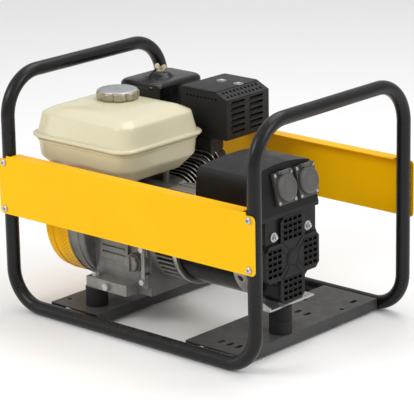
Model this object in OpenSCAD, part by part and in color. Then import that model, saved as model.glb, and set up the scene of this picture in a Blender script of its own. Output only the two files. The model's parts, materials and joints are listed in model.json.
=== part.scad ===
// Portable petrol generator in an open tube frame.
// +X runs along the crankshaft to the sockets, +Y to the rear, +Z up. Origin: floor, middle of the frame.

/* [Frame] */
// Length of the tube frame over the hoops
frame_len = 600; // [590:1:740]
// Width of the tube frame over the rails
frame_width = 430; // [425:1:530]
// Height of the tube frame
frame_height = 445; // [440:1:560]
// Outside diameter of the frame tube
tube_d = 25; // [22:0.5:30]
// Wall of the frame tube
tube_wall = 2; // [1.2:0.1:3]
// Centreline radius of the bends at the floor
bend_bottom = 65; // [40:1:90]
// Centreline radius of the bends under the handle bars
bend_top = 75; // [40:1:110]

/* [Panels and plates] */
// Thickness of the side panels
panel_t = 2; // [1:0.1:3]
// Height of the panels' lower edge
panel_z0 = 182; // [150:1:200]
// Height of the panels at their end tabs
panel_z1 = 285; // [260:1:300]
// Extra height of the panels between the legs
panel_step = 5; // [2:0.5:10]
// Depth of the lip folded in along the top
panel_lip = 22; // [10:1:30]
// Sheet thickness of the base plates
plate_t = 2.5; // [2:0.1:4]
// Height of the flanges folded down from the base plates
plate_flange = 20; // [12:1:21]

/* [Engine] */
// Height of the rubber engine mounts
engine_mount_h = 34.5; // [30:0.5:45]
// Height of the crankshaft axis over the engine's feet
crank_h = 106; // [104:1:116]
// Y position of the crankshaft axis
crank_y = -55; // [-60:1:-50]
// Cylinder bore
bore_d = 68; // [56:1:72]
// Stroke of the piston
stroke = 45; // [38:1:48]
// Diameter of the crankshaft journals
shaft_d = 25; // [20:0.5:28]
// Tilt of the cylinder above horizontal
cylinder_tilt = 25; // [20:1:27]
// Number of fins on the cylinder barrel
barrel_fins = 7; // [5:1:8]

/* [Fuel tank] */
// Length of the tank flange along the crankshaft
tank_len = 246; // [205:1:262]
// Width of the tank flange
tank_width = 219; // [182:1:226]
// Width of the seam flange
tank_rim = 7; // [4:0.5:9]
// Wall of the tank
tank_wall = 2; // [1:0.1:4]
// Height of the tank's upper half
tank_upper = 53; // [48:1:64]
// Diameter of the fuel cap
cap_d = 75; // [60:1:80]

/* [Air cleaner and muffler] */
// Length of the air cleaner along the crankshaft
air_len = 100; // [92:1:104]
// Width of the air cleaner
air_width = 134; // [112:1:161]
// Length of the muffler shield along the crankshaft
muffler_len = 106; // [96:1:118]
// Width of the muffler shield
muffler_width = 117; // [100:1:124]
// Height of the muffler shield
muffler_h = 90; // [76:1:96]

/* [Alternator] */
// Outside diameter of the stator
stator_d = 156; // [144:1:160]
// Bore of the stator
stator_bore = 92; // [80:1:100]
// Length of the stator tube
stator_len = 126; // [105:1:126]
// Air gap between the rotor and the stator
air_gap = 0.5; // [0.3:0.1:1]
// Width of the end cover
cover_width = 142; // [130:1:150]
// Depth of the end cover
cover_depth = 43; // [36:1:48]

/* [Sockets] */
// Width of the socket box
box_width = 160; // [150:1:190]
// Length of the socket box at its base
box_len = 142; // [130:1:150]
// Height of the socket box
box_h = 88; // [84:1:96]
// Backward lean of the socket face
face_lean = 13; // [5:1:16]
// Distance between the sockets
socket_pitch = 58; // [52:1:64]
// Diameter of the socket lids
lid_d = 48; // [42:1:50]

/* [Clearances] */
// Gap between parts that sit against each other
seat_gap = 0.3; // [0.2:0.05:0.5]
// Radial clearance of a shaft in its bore
shaft_gap = 0.05; // [0.02:0.01:0.09]
// Radial clearance of a screw in its hole
screw_gap = 0.3; // [0.2:0.05:0.5]

/* [Hidden] */
$fn = 64;
eps = 0.01;
big = 400;

// Frame centrelines
hoop_x = frame_len / 2 - tube_d / 2;
rail_y = frame_width / 2 - tube_d / 2;
rail_z = tube_d / 2;
bar_z = frame_height - tube_d / 2;
panel_y0 = frame_width / 2 + seat_gap;
panel_y1 = panel_y0 + panel_t;
panel_screw_z = [panel_z0 + 9.5, panel_z1 - 8];
panel_screw_d = 6;
panel_screw_head = 12;
leg_clear = tube_d / 2 + 3;

// Base plates
plate_top = tube_d - 0.5;
plate_y = rail_y - tube_d / 2 - 0.2;
plate_left_x = [-207, -92];
plate_right_x = [118, 240];
plate_hole_d = 9;
hold_left = [[-193, -157], [-193, 157]];
hold_right = [[141, 104], [227, 104]];
slots_right = [[174, 46], [195, 46], [217, 150], [171, -157], [191, -157], [211, -157]];
slot_len = 18;

// Heights that stack up from the floor
engine_z = plate_top + engine_mount_h;
crank_z = engine_z + crank_h;
tank_bottom = crank_z + 93;
tank_seam = tank_bottom + 66;

// Rubber mounts and foot bars
mount_d = 40;
bolt_d = 8;
bolt_hole = bolt_d + 2 * screw_gap;
bolt_head = 13;
case_y = [crank_y - 76, crank_y + 76];
foot_depth = 29;
foot_h = 20;
foot_x = [-146, -48];
engine_mount_x = -134;
engine_mount_y = [case_y[0] - foot_depth / 2 - 1, case_y[1] + foot_depth / 2 + 1];
alternator_mount_x = 218;
foot_bolt_x = -95;

// Crankcase and crank train along X
case_x = [-148, -28];
case_r = 76;
case_wall = 6;
cover_x = [case_x[1], case_x[1] + 14];
cyl_x = -88;
web_r = 40;
web_t = 12;
rod_gap = 24;
web_left = [cyl_x - rod_gap / 2 - web_t, cyl_x - rod_gap / 2];
web_right = [cyl_x + rod_gap / 2, cyl_x + rod_gap / 2 + web_t];
shaft_end = [-224, 203];
crank_pin_d = 30;
rod_len = 85;
pin_d = 18;
crown = 20;
deck = rod_len + stroke / 2 + crown + 2;
barrel_base = 78;
fin_half = 48;
fin_t = 2.4;
head_half = 52;
head_h = 34;
rocker_h = 26;

// Camshaft, driven at half speed
gear_module = 1.8;
crank_teeth = 20;
cam_teeth = 40;
cam_angle = 30;
cam_distance = gear_module * (crank_teeth + cam_teeth) / 2;
cam_y = crank_y + cam_distance * sin(cam_angle);
cam_z = crank_z - cam_distance * cos(cam_angle);
cam_d = 12;
gear_x = [-58, -50];

// Flywheel side
fan_r = 107;
fan_y = crank_y + 2;
fan_z = crank_z - 5;
fan_flat = tank_bottom - 5;
housing_x = [-190, case_x[0]];
fan_x = [-215, -190];
recoil_x = [-248, -215];
fan_wall = 2.5;
flywheel_r = 75;
reel_hub_d = 14;
grip_dir = 60;
grip_x = recoil_x[0] - 8;
grip_y = -120;
grip_z = crank_z + 57;
vent_ring = 58;

// Fuel tank
tank_back = crank_y + 100;
tank_x = -151;
tank_y = tank_back - tank_width / 2;
tank_half = [tank_len / 2 - tank_rim, tank_width / 2 - tank_rim];
tank_corner = 30;
wall_lean = 6;
shoulder_r = 18;
crown_rise = 2;
crown_inset = 60;
floor_inset = 27;
neck_d = 44;
cap_x = tank_x - 26;
cap_y = tank_y + 30;
cap_z = tank_seam + tank_upper + 1;
cap_h = 15;
cap_lobes = 9;

// Air cleaner
air_x = -207;
air_y = tank_back + 2 + air_width / 2;
air_z = crank_z + 150;
air_tray = 8;
air_h = 62;
air_wall = 3;
air_corner = 20;
air_top = air_z + air_tray + air_h;
air_shoulder = 9;
dome_h = 9;
nut_z = air_top + dome_h + seat_gap;
stud_d = 6;
duct_x = [-228, -188];

// Carburettor
carb_y = crank_y + 129;
carb_z = crank_z + 74;
duct_y = [carb_y - 22, carb_y + 20];
lever_d = 6;

// Muffler
muffler_x0 = -101;
muffler_y0 = tank_back + 10;
muffler_z0 = crank_z + 138;
shield_t = 1.5;
port_x = [-82, -40];
port_y = [muffler_y0 + 7, muffler_y0 + 41];
port_z = muffler_z0 - 3;

// Alternator along X
bell_x = [cover_x[1], 52];
bell_r = stator_d / 2 + 6;
stator_x = [bell_x[1], bell_x[1] + stator_len];
bracket_x = [stator_x[1], stator_x[1] + 26];
end_x = [bracket_x[1], bracket_x[1] + cover_depth];
bearing_od = 52;
end_half = [cover_width / 2, 78];
cover_screw = [45, 46];
cover_wall = 3;
arm = 32;
side_arm = 37;
arm_clip = 9;
hub_r = 26;
notch_r = 57;
vent = [10, 6];
vent_pitch = [12.5, 10.5];
alternator_seat = crank_z - end_half[1] - 13;
bracket_t = 3;
support_x = [bracket_x[0] + 6, alternator_mount_x + 14];
support_y = [crank_y - 44, crank_y + 75];
gusset_high = 22;
gusset_low = 7;
gusset_flat = 14;

// Socket box
box_y = crank_y - 10;
box_x = [end_x[1] - box_len, end_x[1]];
box_z0 = crank_z + max(stator_d / 2, end_half[1]) + 0.6;
box_z1 = box_z0 + box_h;
ledge = 6.5;
box_wall = 3;
socket_up = 42;
lid_y = [box_y - 4, box_y - 4 + socket_pitch];
flange_w = 50;
flange_h = 56;
flange_t = 6;
cup_d = 40;
cup_depth = 22;
hinge_up = lid_d / 2 + 3;
hinge_out = flange_t + 4;
hinge_pin_d = 3;

// ---------------------------------------------------------------- shared shapes

module slab(x, y, z) translate([x[0], y[0], z[0]]) cube([x[1] - x[0], y[1] - y[0], z[1] - z[0]]);

module rod_x(x, d, y = crank_y, z = crank_z) translate([x[0], y, z]) rotate([0, 90, 0])
    cylinder(h = x[1] - x[0], d = d);

module rod_y(y, d, x, z) translate([x, y[0], z]) rotate([-90, 0, 0]) cylinder(h = y[1] - y[0], d = d);

module rod_z(z, d, x, y) translate([x, y, z[0]]) cylinder(h = z[1] - z[0], d = d);

module hex_z(z, flats, x, y) translate([x, y, z[0]])
    cylinder(h = z[1] - z[0], d = flats / cos(30), $fn = 6);

// A rectangle with round corners, centred
module round_rect(w, h, r) {
    square([w - 2 * r, h], center = true);
    square([w, h - 2 * r], center = true);
    for (sx = [-1, 1], sy = [-1, 1])
        translate([sx * (w / 2 - r), sy * (h / 2 - r)]) circle(r = r);
}

module round_block(x, y, z, r) translate([(x[0] + x[1]) / 2, (y[0] + y[1]) / 2, z[0]])
    linear_extrude(z[1] - z[0]) round_rect(x[1] - x[0], y[1] - y[0], r);

// Extrudes an outline drawn in Y and Z along X
module along_x(x) translate([x[0], 0, 0]) rotate([90, 0, 90]) linear_extrude(x[1] - x[0]) children();

// Extrudes an outline drawn in X and Z towards +Y
module along_y(y) translate([0, y[1], 0]) rotate([90, 0, 0]) linear_extrude(y[1] - y[0]) children();

// Frame with its z along the cylinder, from the crankshaft axis
module cylinder_frame() translate([cyl_x, crank_y, crank_z]) rotate([cylinder_tilt - 90, 0, 0]) children();

// Frame of the leaning socket face: x out of the face, z up along it
module face_frame(y) translate([box_x[1], y, box_z0 + ledge]) rotate([0, -face_lean, 0]) children();

// ---------------------------------------------------------------- frame

module tube_section() difference() {
    circle(d = tube_d);
    circle(d = tube_d - 2 * tube_wall);
}

module tube_bend(r) rotate_extrude(angle = 90) translate([r, 0]) tube_section();

module half_hoop() {
    translate([-hoop_x, -(rail_y - bend_top), bar_z]) rotate([-90, 0, 0])
        linear_extrude(rail_y - bend_top) tube_section();
    translate([-hoop_x, -(rail_y - bend_top), bar_z - bend_top]) rotate([90, 0, -90]) tube_bend(bend_top);
    translate([-hoop_x, -rail_y, rail_z + bend_bottom])
        linear_extrude(bar_z - bend_top - rail_z - bend_bottom) tube_section();
    translate([-hoop_x + bend_bottom, -rail_y, rail_z + bend_bottom]) rotate([-90, 0, 180])
        tube_bend(bend_bottom);
}

module hoop() color("#2e2d2d") difference() {
    union() {
        half_hoop();
        mirror([0, 1, 0]) half_hoop();
    }
    for (z = panel_screw_z, side = [-1, 1])
        rod_y([min(side * rail_y, side * frame_width), max(side * rail_y, side * frame_width)],
            panel_screw_d + 2 * screw_gap, -hoop_x, z);
}

module frame_hoop_left() hoop();

module frame_hoop_right() mirror([1, 0, 0]) hoop();

module frame_rails() color("#2e2d2d") for (side = [-1, 1])
    translate([-hoop_x + bend_bottom, side * rail_y, rail_z]) rotate([0, 90, 0])
        linear_extrude(2 * (hoop_x - bend_bottom)) tube_section();

module plate_channel(x) {
    slab(x, [-plate_y, plate_y], [plate_top - plate_t, plate_top]);
    slab([x[0], x[0] + plate_t], [-plate_y, plate_y], [plate_top - plate_flange, plate_top]);
    slab([x[1] - plate_t, x[1]], [-plate_y, plate_y], [plate_top - plate_flange, plate_top]);
}

module plate_hole(p, d) rod_z([plate_top - plate_t - 1, plate_top + 1], d, p[0], p[1]);

module plate_slot(p) {
    for (end = [-1, 1]) plate_hole([p[0], p[1] + end * (slot_len - plate_hole_d) / 2], plate_hole_d);
    slab([p[0] - plate_hole_d / 2, p[0] + plate_hole_d / 2],
        [p[1] - (slot_len - plate_hole_d) / 2, p[1] + (slot_len - plate_hole_d) / 2],
        [plate_top - plate_t - 1, plate_top + 1]);
}

module base_plate_left() color("#3b3a3a") difference() {
    plate_channel(plate_left_x);
    for (p = hold_left) plate_hole(p, plate_hole_d);
    for (y = engine_mount_y) plate_hole([engine_mount_x, y], bolt_hole);
}

module base_plate_right() color("#3b3a3a") difference() {
    plate_channel(plate_right_x);
    for (p = hold_right) plate_hole(p, plate_hole_d);
    for (p = slots_right) plate_slot(p);
    plate_hole([alternator_mount_x, crank_y], bolt_hole);
}

// Flat sheet with round-cornered end tabs, a taller middle and a lip folded in over it
module side_panel() color("#ffbe00") difference() {
    union() {
        translate([0, -panel_y0, 0]) rotate([90, 0, 0]) linear_extrude(panel_t) {
            translate([0, (panel_z0 + panel_z1) / 2]) round_rect(frame_len, panel_z1 - panel_z0, 8);
            translate([0, (panel_z0 + panel_z1 + panel_step) / 2])
                square([2 * (hoop_x - tube_d / 4), panel_z1 + panel_step - panel_z0], center = true);
        }
        slab([-hoop_x + leg_clear, hoop_x - leg_clear], [-panel_y0 - eps, -panel_y0 + panel_lip],
            [panel_z1 + panel_step - panel_t, panel_z1 + panel_step]);
    }
    for (x = [-hoop_x, hoop_x], z = panel_screw_z)
        rod_y([-panel_y1 - 1, -panel_y0 + 1], panel_screw_d + 2 * screw_gap, x, z);
}

module side_panel_front() side_panel();

module side_panel_rear() mirror([0, 1, 0]) side_panel();

module panel_screw() difference() {
    union() {
        rotate([90, 0, 0]) cylinder(h = 2.2, d = panel_screw_head);
        translate([0, -2.2, 0]) rotate([90, 0, 0]) cylinder(h = 1.4, d1 = panel_screw_head, d2 = 8);
        rotate([-90, 0, 0]) cylinder(h = panel_t + tube_wall + 5, d = panel_screw_d);
    }
    translate([0, -3.7, 0]) rotate([-90, 0, 0]) cylinder(h = 2.4, d = 4.6, $fn = 6);
}

module panel_screws() color("#c9ccd0") for (side = [0, 1], x = [-hoop_x, hoop_x], z = panel_screw_z)
    mirror([0, side, 0]) translate([x, -panel_y1, z]) panel_screw();

// ---------------------------------------------------------------- rubber mounts and feet

module engine_mounts() color("#1b1a1a") for (y = engine_mount_y)
    rod_z([plate_top, engine_z], mount_d, engine_mount_x, y);

module alternator_mount() color("#1b1a1a") {
    rod_z([plate_top, alternator_seat], mount_d - 2, alternator_mount_x, crank_y);
    rod_z([plate_top, (plate_top + alternator_seat) / 2 - 1], mount_d, alternator_mount_x, crank_y);
    rod_z([(plate_top + alternator_seat) / 2 + 1, alternator_seat], mount_d, alternator_mount_x, crank_y);
}

// Stud and nut under a plate, and the bolt that comes down from above
module mount_bolt(x, y, top, grip) {
    rod_z([plate_top - plate_t - 9, plate_top], bolt_d, x, y);
    hex_z([plate_top - plate_t - 6.5, plate_top - plate_t], bolt_head, x, y);
    rod_z([top - grip, top + eps], bolt_d, x, y);
    rod_z([top, top + 1.6], 16, x, y);
    hex_z([top + 1.6 - eps, top + 7], bolt_head, x, y);
}

module mount_bolts() color("#c9ccd0") {
    for (y = engine_mount_y) mount_bolt(engine_mount_x, y, engine_z + foot_h, foot_h);
    mount_bolt(alternator_mount_x, crank_y, alternator_seat + bracket_t, bracket_t);
}

module foot_bars() color("#84837e") difference() {
    for (side = [0, 1]) {
        y0 = side == 0 ? case_y[0] - foot_depth : case_y[1];
        slab(foot_x, [y0, y0 + foot_depth], [engine_z, engine_z + foot_h]);
    }
    for (y = engine_mount_y) rod_z([engine_z - 1, engine_z + foot_h + 1], bolt_hole, engine_mount_x, y);
    rod_y([case_y[0] - foot_depth - 1, case_y[0] + 1], bolt_hole, foot_bolt_x, engine_z + foot_h / 2);
}

// ---------------------------------------------------------------- crankcase

oil_x = -46;
oil_z = crank_z - 47;
oil_boss = 12;
thread_d = 18;
post_x = [-134, -80];
post_y = [crank_y - 40, crank_y + 38];
bearing_seat = shaft_d + 2 * shaft_gap;

module fan_outline(grow = 0) intersection() {
    translate([fan_y, fan_z]) circle(r = fan_r + grow);
    translate([fan_y - fan_r - 5, fan_z - fan_r - 5])
        square([2 * fan_r + 10, fan_flat + grow - fan_z + fan_r + 5]);
}

module crankcase() color("#83827d") difference() {
    union() {
        rod_x(case_x, 2 * case_r);
        slab(case_x, case_y, [engine_z, crank_z]);
        cylinder_frame() linear_extrude(barrel_base) round_rect(2 * fin_half, 2 * fin_half, 12);
        for (x = post_x, y = post_y) rod_z([crank_z, tank_bottom], 14, x, y);
        along_x(housing_x) fan_outline();
        slab([-132, -64], [case_y[0] - 6, case_y[0]], [crank_z - 53, crank_z - 15]);
        rod_y([case_y[0] - oil_boss, case_y[0]], 34, oil_x, oil_z);
        rod_x([case_x[0], case_x[0] + 20], shaft_d + 24);
    }
    along_x([housing_x[0] - 1, case_x[0] - 5]) fan_outline(-4);
    rod_x([case_x[0] - 6, case_x[1] + 1], bearing_seat);
    difference() {
        union() {
            rod_x([case_x[0] + case_wall, case_x[1] + 1], 2 * (case_r - case_wall));
            slab([case_x[0] + case_wall, case_x[1] + 1], [case_y[0] + case_wall, case_y[1] - case_wall],
                [engine_z + case_wall, crank_z]);
        }
        rod_x([case_x[0], case_x[0] + 18], shaft_d + 24);
    }
    rod_x([case_x[0] + 17, case_x[1] + 1], 2 * web_r + 4);
    cylinder_frame() cylinder(h = barrel_base + 1, d = bore_d + 6);
    rod_x([case_x[0] - 6, case_x[0] + 18], bearing_seat);
    rod_x([case_x[0] - 1, case_x[0] + case_wall - 2], cam_d + 2 * shaft_gap, cam_y, cam_z);
    rod_x([case_x[0] + 2, case_x[0] + case_wall + 1], cam_d + 2 * shaft_gap, cam_y, cam_z);
    for (z = [crank_z - 40, crank_z - 28])
        slab([-126, -70], [case_y[0] - 7, case_y[0] - 3], [z - 1.5, z + 1.5]);
    rod_y([case_y[0] - oil_boss - 1, case_y[0] + case_wall + 1], thread_d + 2 * shaft_gap, oil_x, oil_z);
    rod_y([case_y[0] - 1, case_y[0] + case_wall + 1], bolt_hole, foot_bolt_x, engine_z + foot_h / 2);
    translate([lead_exit[0], crank_y, crank_z]) rotate([coil_angle, 0, 0])
        rod_y([flywheel_r + 10, fan_r + 12], lead_d + 2, 0, 0);
}

module crankcase_cover() color("#8b8a84") difference() {
    union() {
        rod_x(cover_x, 2 * case_r);
        slab(cover_x, case_y, [engine_z, crank_z]);
        rod_x([cover_x[0] - 10, cover_x[0]], shaft_d + 16);
        slab(cover_x, [case_y[0] - 10, case_y[0]], [crank_z - 30, crank_z - 5]);
        slab(cover_x, [case_y[0] - 10, case_y[0]], [engine_z + 16, engine_z + 42]);
    }
    rod_x([cover_x[0] - 11, cover_x[1] + 1], bearing_seat);
    rod_x([cover_x[0] - 1, cover_x[0] + 7], cam_d + 2 * shaft_gap, cam_y, cam_z);
}

module cylinder_barrel() color("#3a3a38") difference() {
    cylinder_frame() {
        translate([0, 0, barrel_base]) cylinder(h = deck - barrel_base, d = bore_d + 18);
        translate([0, 0, barrel_base - 22]) cylinder(h = 23, d = bore_d + 6 - 2 * seat_gap);
        for (i = [0:barrel_fins - 1])
            translate([0, 0, barrel_base + i * (deck - barrel_base - fin_t) / (barrel_fins - 1)])
                linear_extrude(fin_t) round_rect(2 * fin_half, 2 * fin_half, 26);
    }
    cylinder_frame() translate([0, 0, barrel_base - 23]) cylinder(h = deck, d = bore_d + 2 * shaft_gap);
}

module cylinder_head() color("#4a4a47") difference() {
    union() {
        cylinder_frame() {
            translate([0, 0, deck]) linear_extrude(8) round_rect(2 * head_half, 2 * head_half, 14);
            translate([0, 0, deck]) linear_extrude(head_h) round_rect(1.5 * head_half, 1.7 * head_half, 10);
            for (i = [1:3]) translate([0, 0, deck + i * (head_h - fin_t) / 3]) linear_extrude(fin_t)
                round_rect(2 * head_half, 2 * head_half, 14);
        }
        difference() {
            union() {
                slab(port_x, port_y, [port_z - 32, port_z]);
                rod_x([cyl_x - head_half - 3, cyl_x - 20], 36, carb_y, carb_z);
            }
            cylinder_frame() slab([-28, big], [-head_half + 12, head_half], [deck + head_h, big]);
        }
    }
    cylinder_frame() slab([plug_at[0] - 14, plug_at[0] + 14], [plug_at[1] - 14, plug_at[1] + 14],
        [deck + head_h, deck + head_h + 40]);
    cylinder_frame() translate([0, 0, deck - 1]) cylinder(h = 13, d = bore_d - 8);
    cylinder_frame() translate([plug_at[0], plug_at[1], deck + 11])
        cylinder(h = head_h, d = 14 + 2 * shaft_gap);
    rod_z([port_z - 20, port_z + 1], 24, (port_x[0] + port_x[1]) / 2, (port_y[0] + port_y[1]) / 2);
    rod_x([cyl_x - head_half - 4, cyl_x - 34], 22, carb_y, carb_z);
}

plug_at = [-36, 8];

module rocker_cover() color("#2a2a29") cylinder_frame() difference() {
    translate([12, 0, deck + head_h]) {
        linear_extrude(rocker_h) round_rect(64, 70, 12);
        linear_extrude(4) round_rect(72, 78, 14);
    }
    translate([12, 0, deck + head_h - 1]) linear_extrude(rocker_h - 1) round_rect(58, 64, 9);
}

module spark_plug() color("#d8d6cf") cylinder_frame() translate([plug_at[0], plug_at[1], deck + 12]) {
    cylinder(h = head_h - 12 + 1, d = 14);
    translate([0, 0, head_h - 12 + seat_gap]) cylinder(h = 9, d = 20.8 / cos(30), $fn = 6);
    translate([0, 0, head_h - 12 + 9]) cylinder(h = 22, d = 10);
}

// ---------------------------------------------------------------- ignition and fuel lines

coil_angle = 10;
lead_d = 7;
coil_face = flywheel_r + 18;
coil_out = [0, cos(coil_angle), sin(coil_angle)];
crank_axis = [0, crank_y, crank_z];
lead_exit = crank_axis + [-172, 0, 0] + (coil_face + seat_gap) * coil_out;
plug_top = deck + head_h + 31;
cap_end = [
    cyl_x + plug_at[0] - 14,
    crank_y + (plug_top + 2) * cos(cylinder_tilt) + plug_at[1] * sin(cylinder_tilt),
    crank_z + (plug_top + 2) * sin(cylinder_tilt) - plug_at[1] * cos(cylinder_tilt)
];
lead_points = [
    lead_exit, lead_exit + 8 * coil_out, lead_exit + 17 * coil_out, [-167, 66, crank_z + 18],
    [-162, 80, crank_z + 16], [-155, 100, crank_z + 16], [-150, 124, crank_z + 26],
    [-149, cap_end[1] - 4, crank_z + 55],
    cap_end + [-8, 0, -7], cap_end
];
hose_d = 7;
hose_z = tank_bottom - 31;
hose_y = tank_back - tank_rim - floor_inset - 5;
hose_points = [
    [-142, hose_y, tank_bottom], [-142, hose_y + 1, tank_bottom - 8],
    [-141, 16, tank_bottom - 16], [-144, 28, hose_z + 8],
    [-155, carb_y - 38, hose_z + 2], [-160, carb_y - 32, hose_z],
    [-160, carb_y - 26 - seat_gap, hose_z]
];
sweep_sides = 10;
sweep_steps = 4;

function unit(v) = v / norm(v);
// Point on a smooth curve through p, at stretch i and share t of it
function curve_point(p, i, t) = let (
        n = len(p),
        a = i > 0 ? p[i - 1] : 2 * p[0] - p[1],
        b = p[i],
        c = p[i + 1],
        d = i + 2 < n ? p[i + 2] : 2 * p[n - 1] - p[n - 2]
    ) 0.5 * (2 * b + t * (c - a) + t * t * (2 * a - 5 * b + 4 * c - d) + t * t * t * (3 * b - a - 3 * c + d));
function curve(p, steps) = concat(
    [for (i = [0:len(p) - 2], s = [0:steps - 1]) curve_point(p, i, s / steps)], [p[len(p) - 1]]);
function heading(c, i) = unit(c[min(i + 1, len(c) - 1)] - c[max(i - 1, 0)]);
// Side direction carried along the curve without twist
function sides(c, i = 0, prev = [1, 0, 0], out = []) = i == len(c) ? out : let (
        h = heading(c, i),
        s = unit(prev - (prev * h) * h)
    ) sides(c, i + 1, s, concat(out, [s]));

module swept_tube(p, d, first_side = [1, 0, 0]) {
    c = curve(p, sweep_steps);
    s = sides(c, 0, first_side);
    n = sweep_sides;
    rings = [for (i = [0:len(c) - 1], k = [0:n - 1]) let (h = heading(c, i), u = s[i], v = cross(h, u))
        c[i] + d / 2 * (cos(360 * k / n) * u + sin(360 * k / n) * v)];
    walls = [for (i = [0:len(c) - 2], k = [0:n - 1]) let (a = i * n + k, b = i * n + (k + 1) % n)
        each [[a, a + n, b + n], [a, b + n, b]]];
    polyhedron(rings, concat([[for (k = [0:n - 1]) k]], walls,
        [[for (k = [n - 1:-1:0]) (len(c) - 1) * n + k]]));
}

module ignition_lead() color("#161616") {
    swept_tube(lead_points, lead_d);
    difference() {
        union() {
            cylinder_frame() translate([plug_at[0], plug_at[1], plug_top - 16]) cylinder(h = 24, d = 18);
            rod_x([cap_end[0] - 1, cap_end[0] + 14], 12, cap_end[1], cap_end[2]);
        }
        cylinder_frame() translate([plug_at[0], plug_at[1], plug_top - 17])
            cylinder(h = 18, d = 10 + 2 * seat_gap);
    }
}

module ignition_coil() color("#202020") translate([lead_exit[0], crank_y, crank_z]) rotate([coil_angle, 0, 0])
    difference() {
        union() {
            slab([-11, 11], [flywheel_r + 2, coil_face], [-15, 15]);
            for (z = [-10, 10]) rod_x([10, case_x[0] - 5 - seat_gap - lead_exit[0]], 9, flywheel_r + 10, z);
        }
        slab([-5, 5], [flywheel_r + 1, flywheel_r + 9], [-5, 5]);
    }

module fuel_hose() color("#1c1c1c") swept_tube(hose_points, hose_d);

// ---------------------------------------------------------------- carburettor and air cleaner

carb_x = [duct_x[1], cyl_x - head_half - 3];
lever_y = carb_y + 22;
choke_at = [-170, carb_z + 6];
fuel_at = [-162, carb_z - 22];

module carburettor() color("#a8a69d") difference() {
    union() {
        rod_x(carb_x, 36, carb_y, carb_z);
        slab([carb_x[1] - 6, carb_x[1]], [carb_y - 20, carb_y + 20], [carb_z - 20, carb_z + 20]);
        rod_z([carb_z - 42, carb_z], 38, -167, carb_y);
        slab([-180, -152], [carb_y, lever_y], [carb_z - 30, carb_z + 12]);
        rod_y([carb_y - 26, carb_y], 8, -160, hose_z);
    }
    rod_x([carb_x[0] - 1, carb_x[1] + 1], 22, carb_y, carb_z);
    for (p = [choke_at, fuel_at]) rod_y([lever_y - 8, lever_y + 1], lever_d + 2 * shaft_gap, p[0], p[1]);
}

module lever(at, reach) {
    rod_y([lever_y - 7, lever_y + 5], lever_d, at[0], at[1]);
    rod_y([lever_y + seat_gap, lever_y + 3.5], 12, at[0], at[1]);
    slab([at[0] - reach, at[0]], [lever_y + seat_gap, lever_y + 3.5], [at[1] - 4, at[1] + 4]);
    rod_y([lever_y + seat_gap, lever_y + 7], 9, at[0] - reach, at[1]);
}

module choke_lever() color("#2b2b2b") lever(choke_at, 26);

module fuel_lever() color("#2b2b2b") lever(fuel_at, 22);

module air_outline(inset) translate([air_x, air_y])
    round_rect(air_len - 2 * inset, air_width - 2 * inset, air_corner - inset / 2);

module air_cleaner_base() color("#1e1d1d") difference() {
    union() {
        translate([0, 0, air_z]) linear_extrude(air_tray) air_outline(0);
        round_block(duct_x, duct_y, [carb_z - 22, air_z + 1], 6);
        rod_z([air_z, air_top + dome_h + 5], stud_d, air_x, air_y);
    }
    difference() {
        union() {
            translate([0, 0, air_z + air_wall]) linear_extrude(air_tray) air_outline(air_wall);
            round_block([duct_x[0] + 3, duct_x[1] - 3], [duct_y[0] + 3, duct_y[1] - 3],
                [carb_z - 19, air_z + 4], 3);
        }
        rod_z([air_z - 1, air_z + air_tray + 4], stud_d + 4, air_x, air_y);
    }
    rod_x([duct_x[1] - 4, duct_x[1] + 1], 24, carb_y, carb_z);
}

module air_filter_element() color("#c8b46a") difference() {
    translate([0, 0, air_z + air_wall]) linear_extrude(air_h - 6) air_outline(8);
    translate([0, 0, air_z + 2]) linear_extrude(air_h - 4) air_outline(24);
}

module air_slice(z, inset) translate([0, 0, z]) linear_extrude(eps) air_outline(inset, $fn = 32);

module air_cleaner_cover() color("#1c1b1a") difference() {
    union() {
        hull() {
            air_slice(air_z + air_tray + seat_gap, 0);
            for (a = [0:22.5:90])
                air_slice(air_top - air_shoulder * (1 - sin(a)), air_shoulder * (1 - cos(a)));
        }
        translate([air_x, air_y, air_top - 1]) cylinder(h = dome_h + 1, d1 = 48, d2 = 26);
    }
    translate([0, 0, air_z]) linear_extrude(air_top - air_shoulder - air_z) air_outline(air_wall);
    rod_z([air_z, air_top + dome_h + 1], stud_d + 2 * screw_gap, air_x, air_y);
}

module wing_nut() color("#cfc9a2") difference() {
    union() {
        rod_z([nut_z, nut_z + 2], 16, air_x, air_y);
        rod_z([nut_z + 1, nut_z + 8], 11, air_x, air_y);
        for (side = [-1, 1]) translate([air_x + side * 8.5, air_y + 1.5, nut_z + 8]) rotate([90, 0, 0])
            cylinder(h = 3, d = 10);
        slab([air_x - 9, air_x + 9], [air_y - 1.5, air_y + 1.5], [nut_z + 3, nut_z + 7]);
    }
    rod_z([nut_z - 1, nut_z + 14], stud_d + 2 * shaft_gap, air_x, air_y);
}

// ---------------------------------------------------------------- flywheel side

module fan_cover() color("#ffbe00") difference() {
    along_x(fan_x) fan_outline();
    along_x([fan_x[0] + fan_wall, fan_x[1] + 1]) fan_outline(-fan_wall);
    rod_x([fan_x[0] - 1, fan_x[1]], 2 * (flywheel_r + 3));
}

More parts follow.
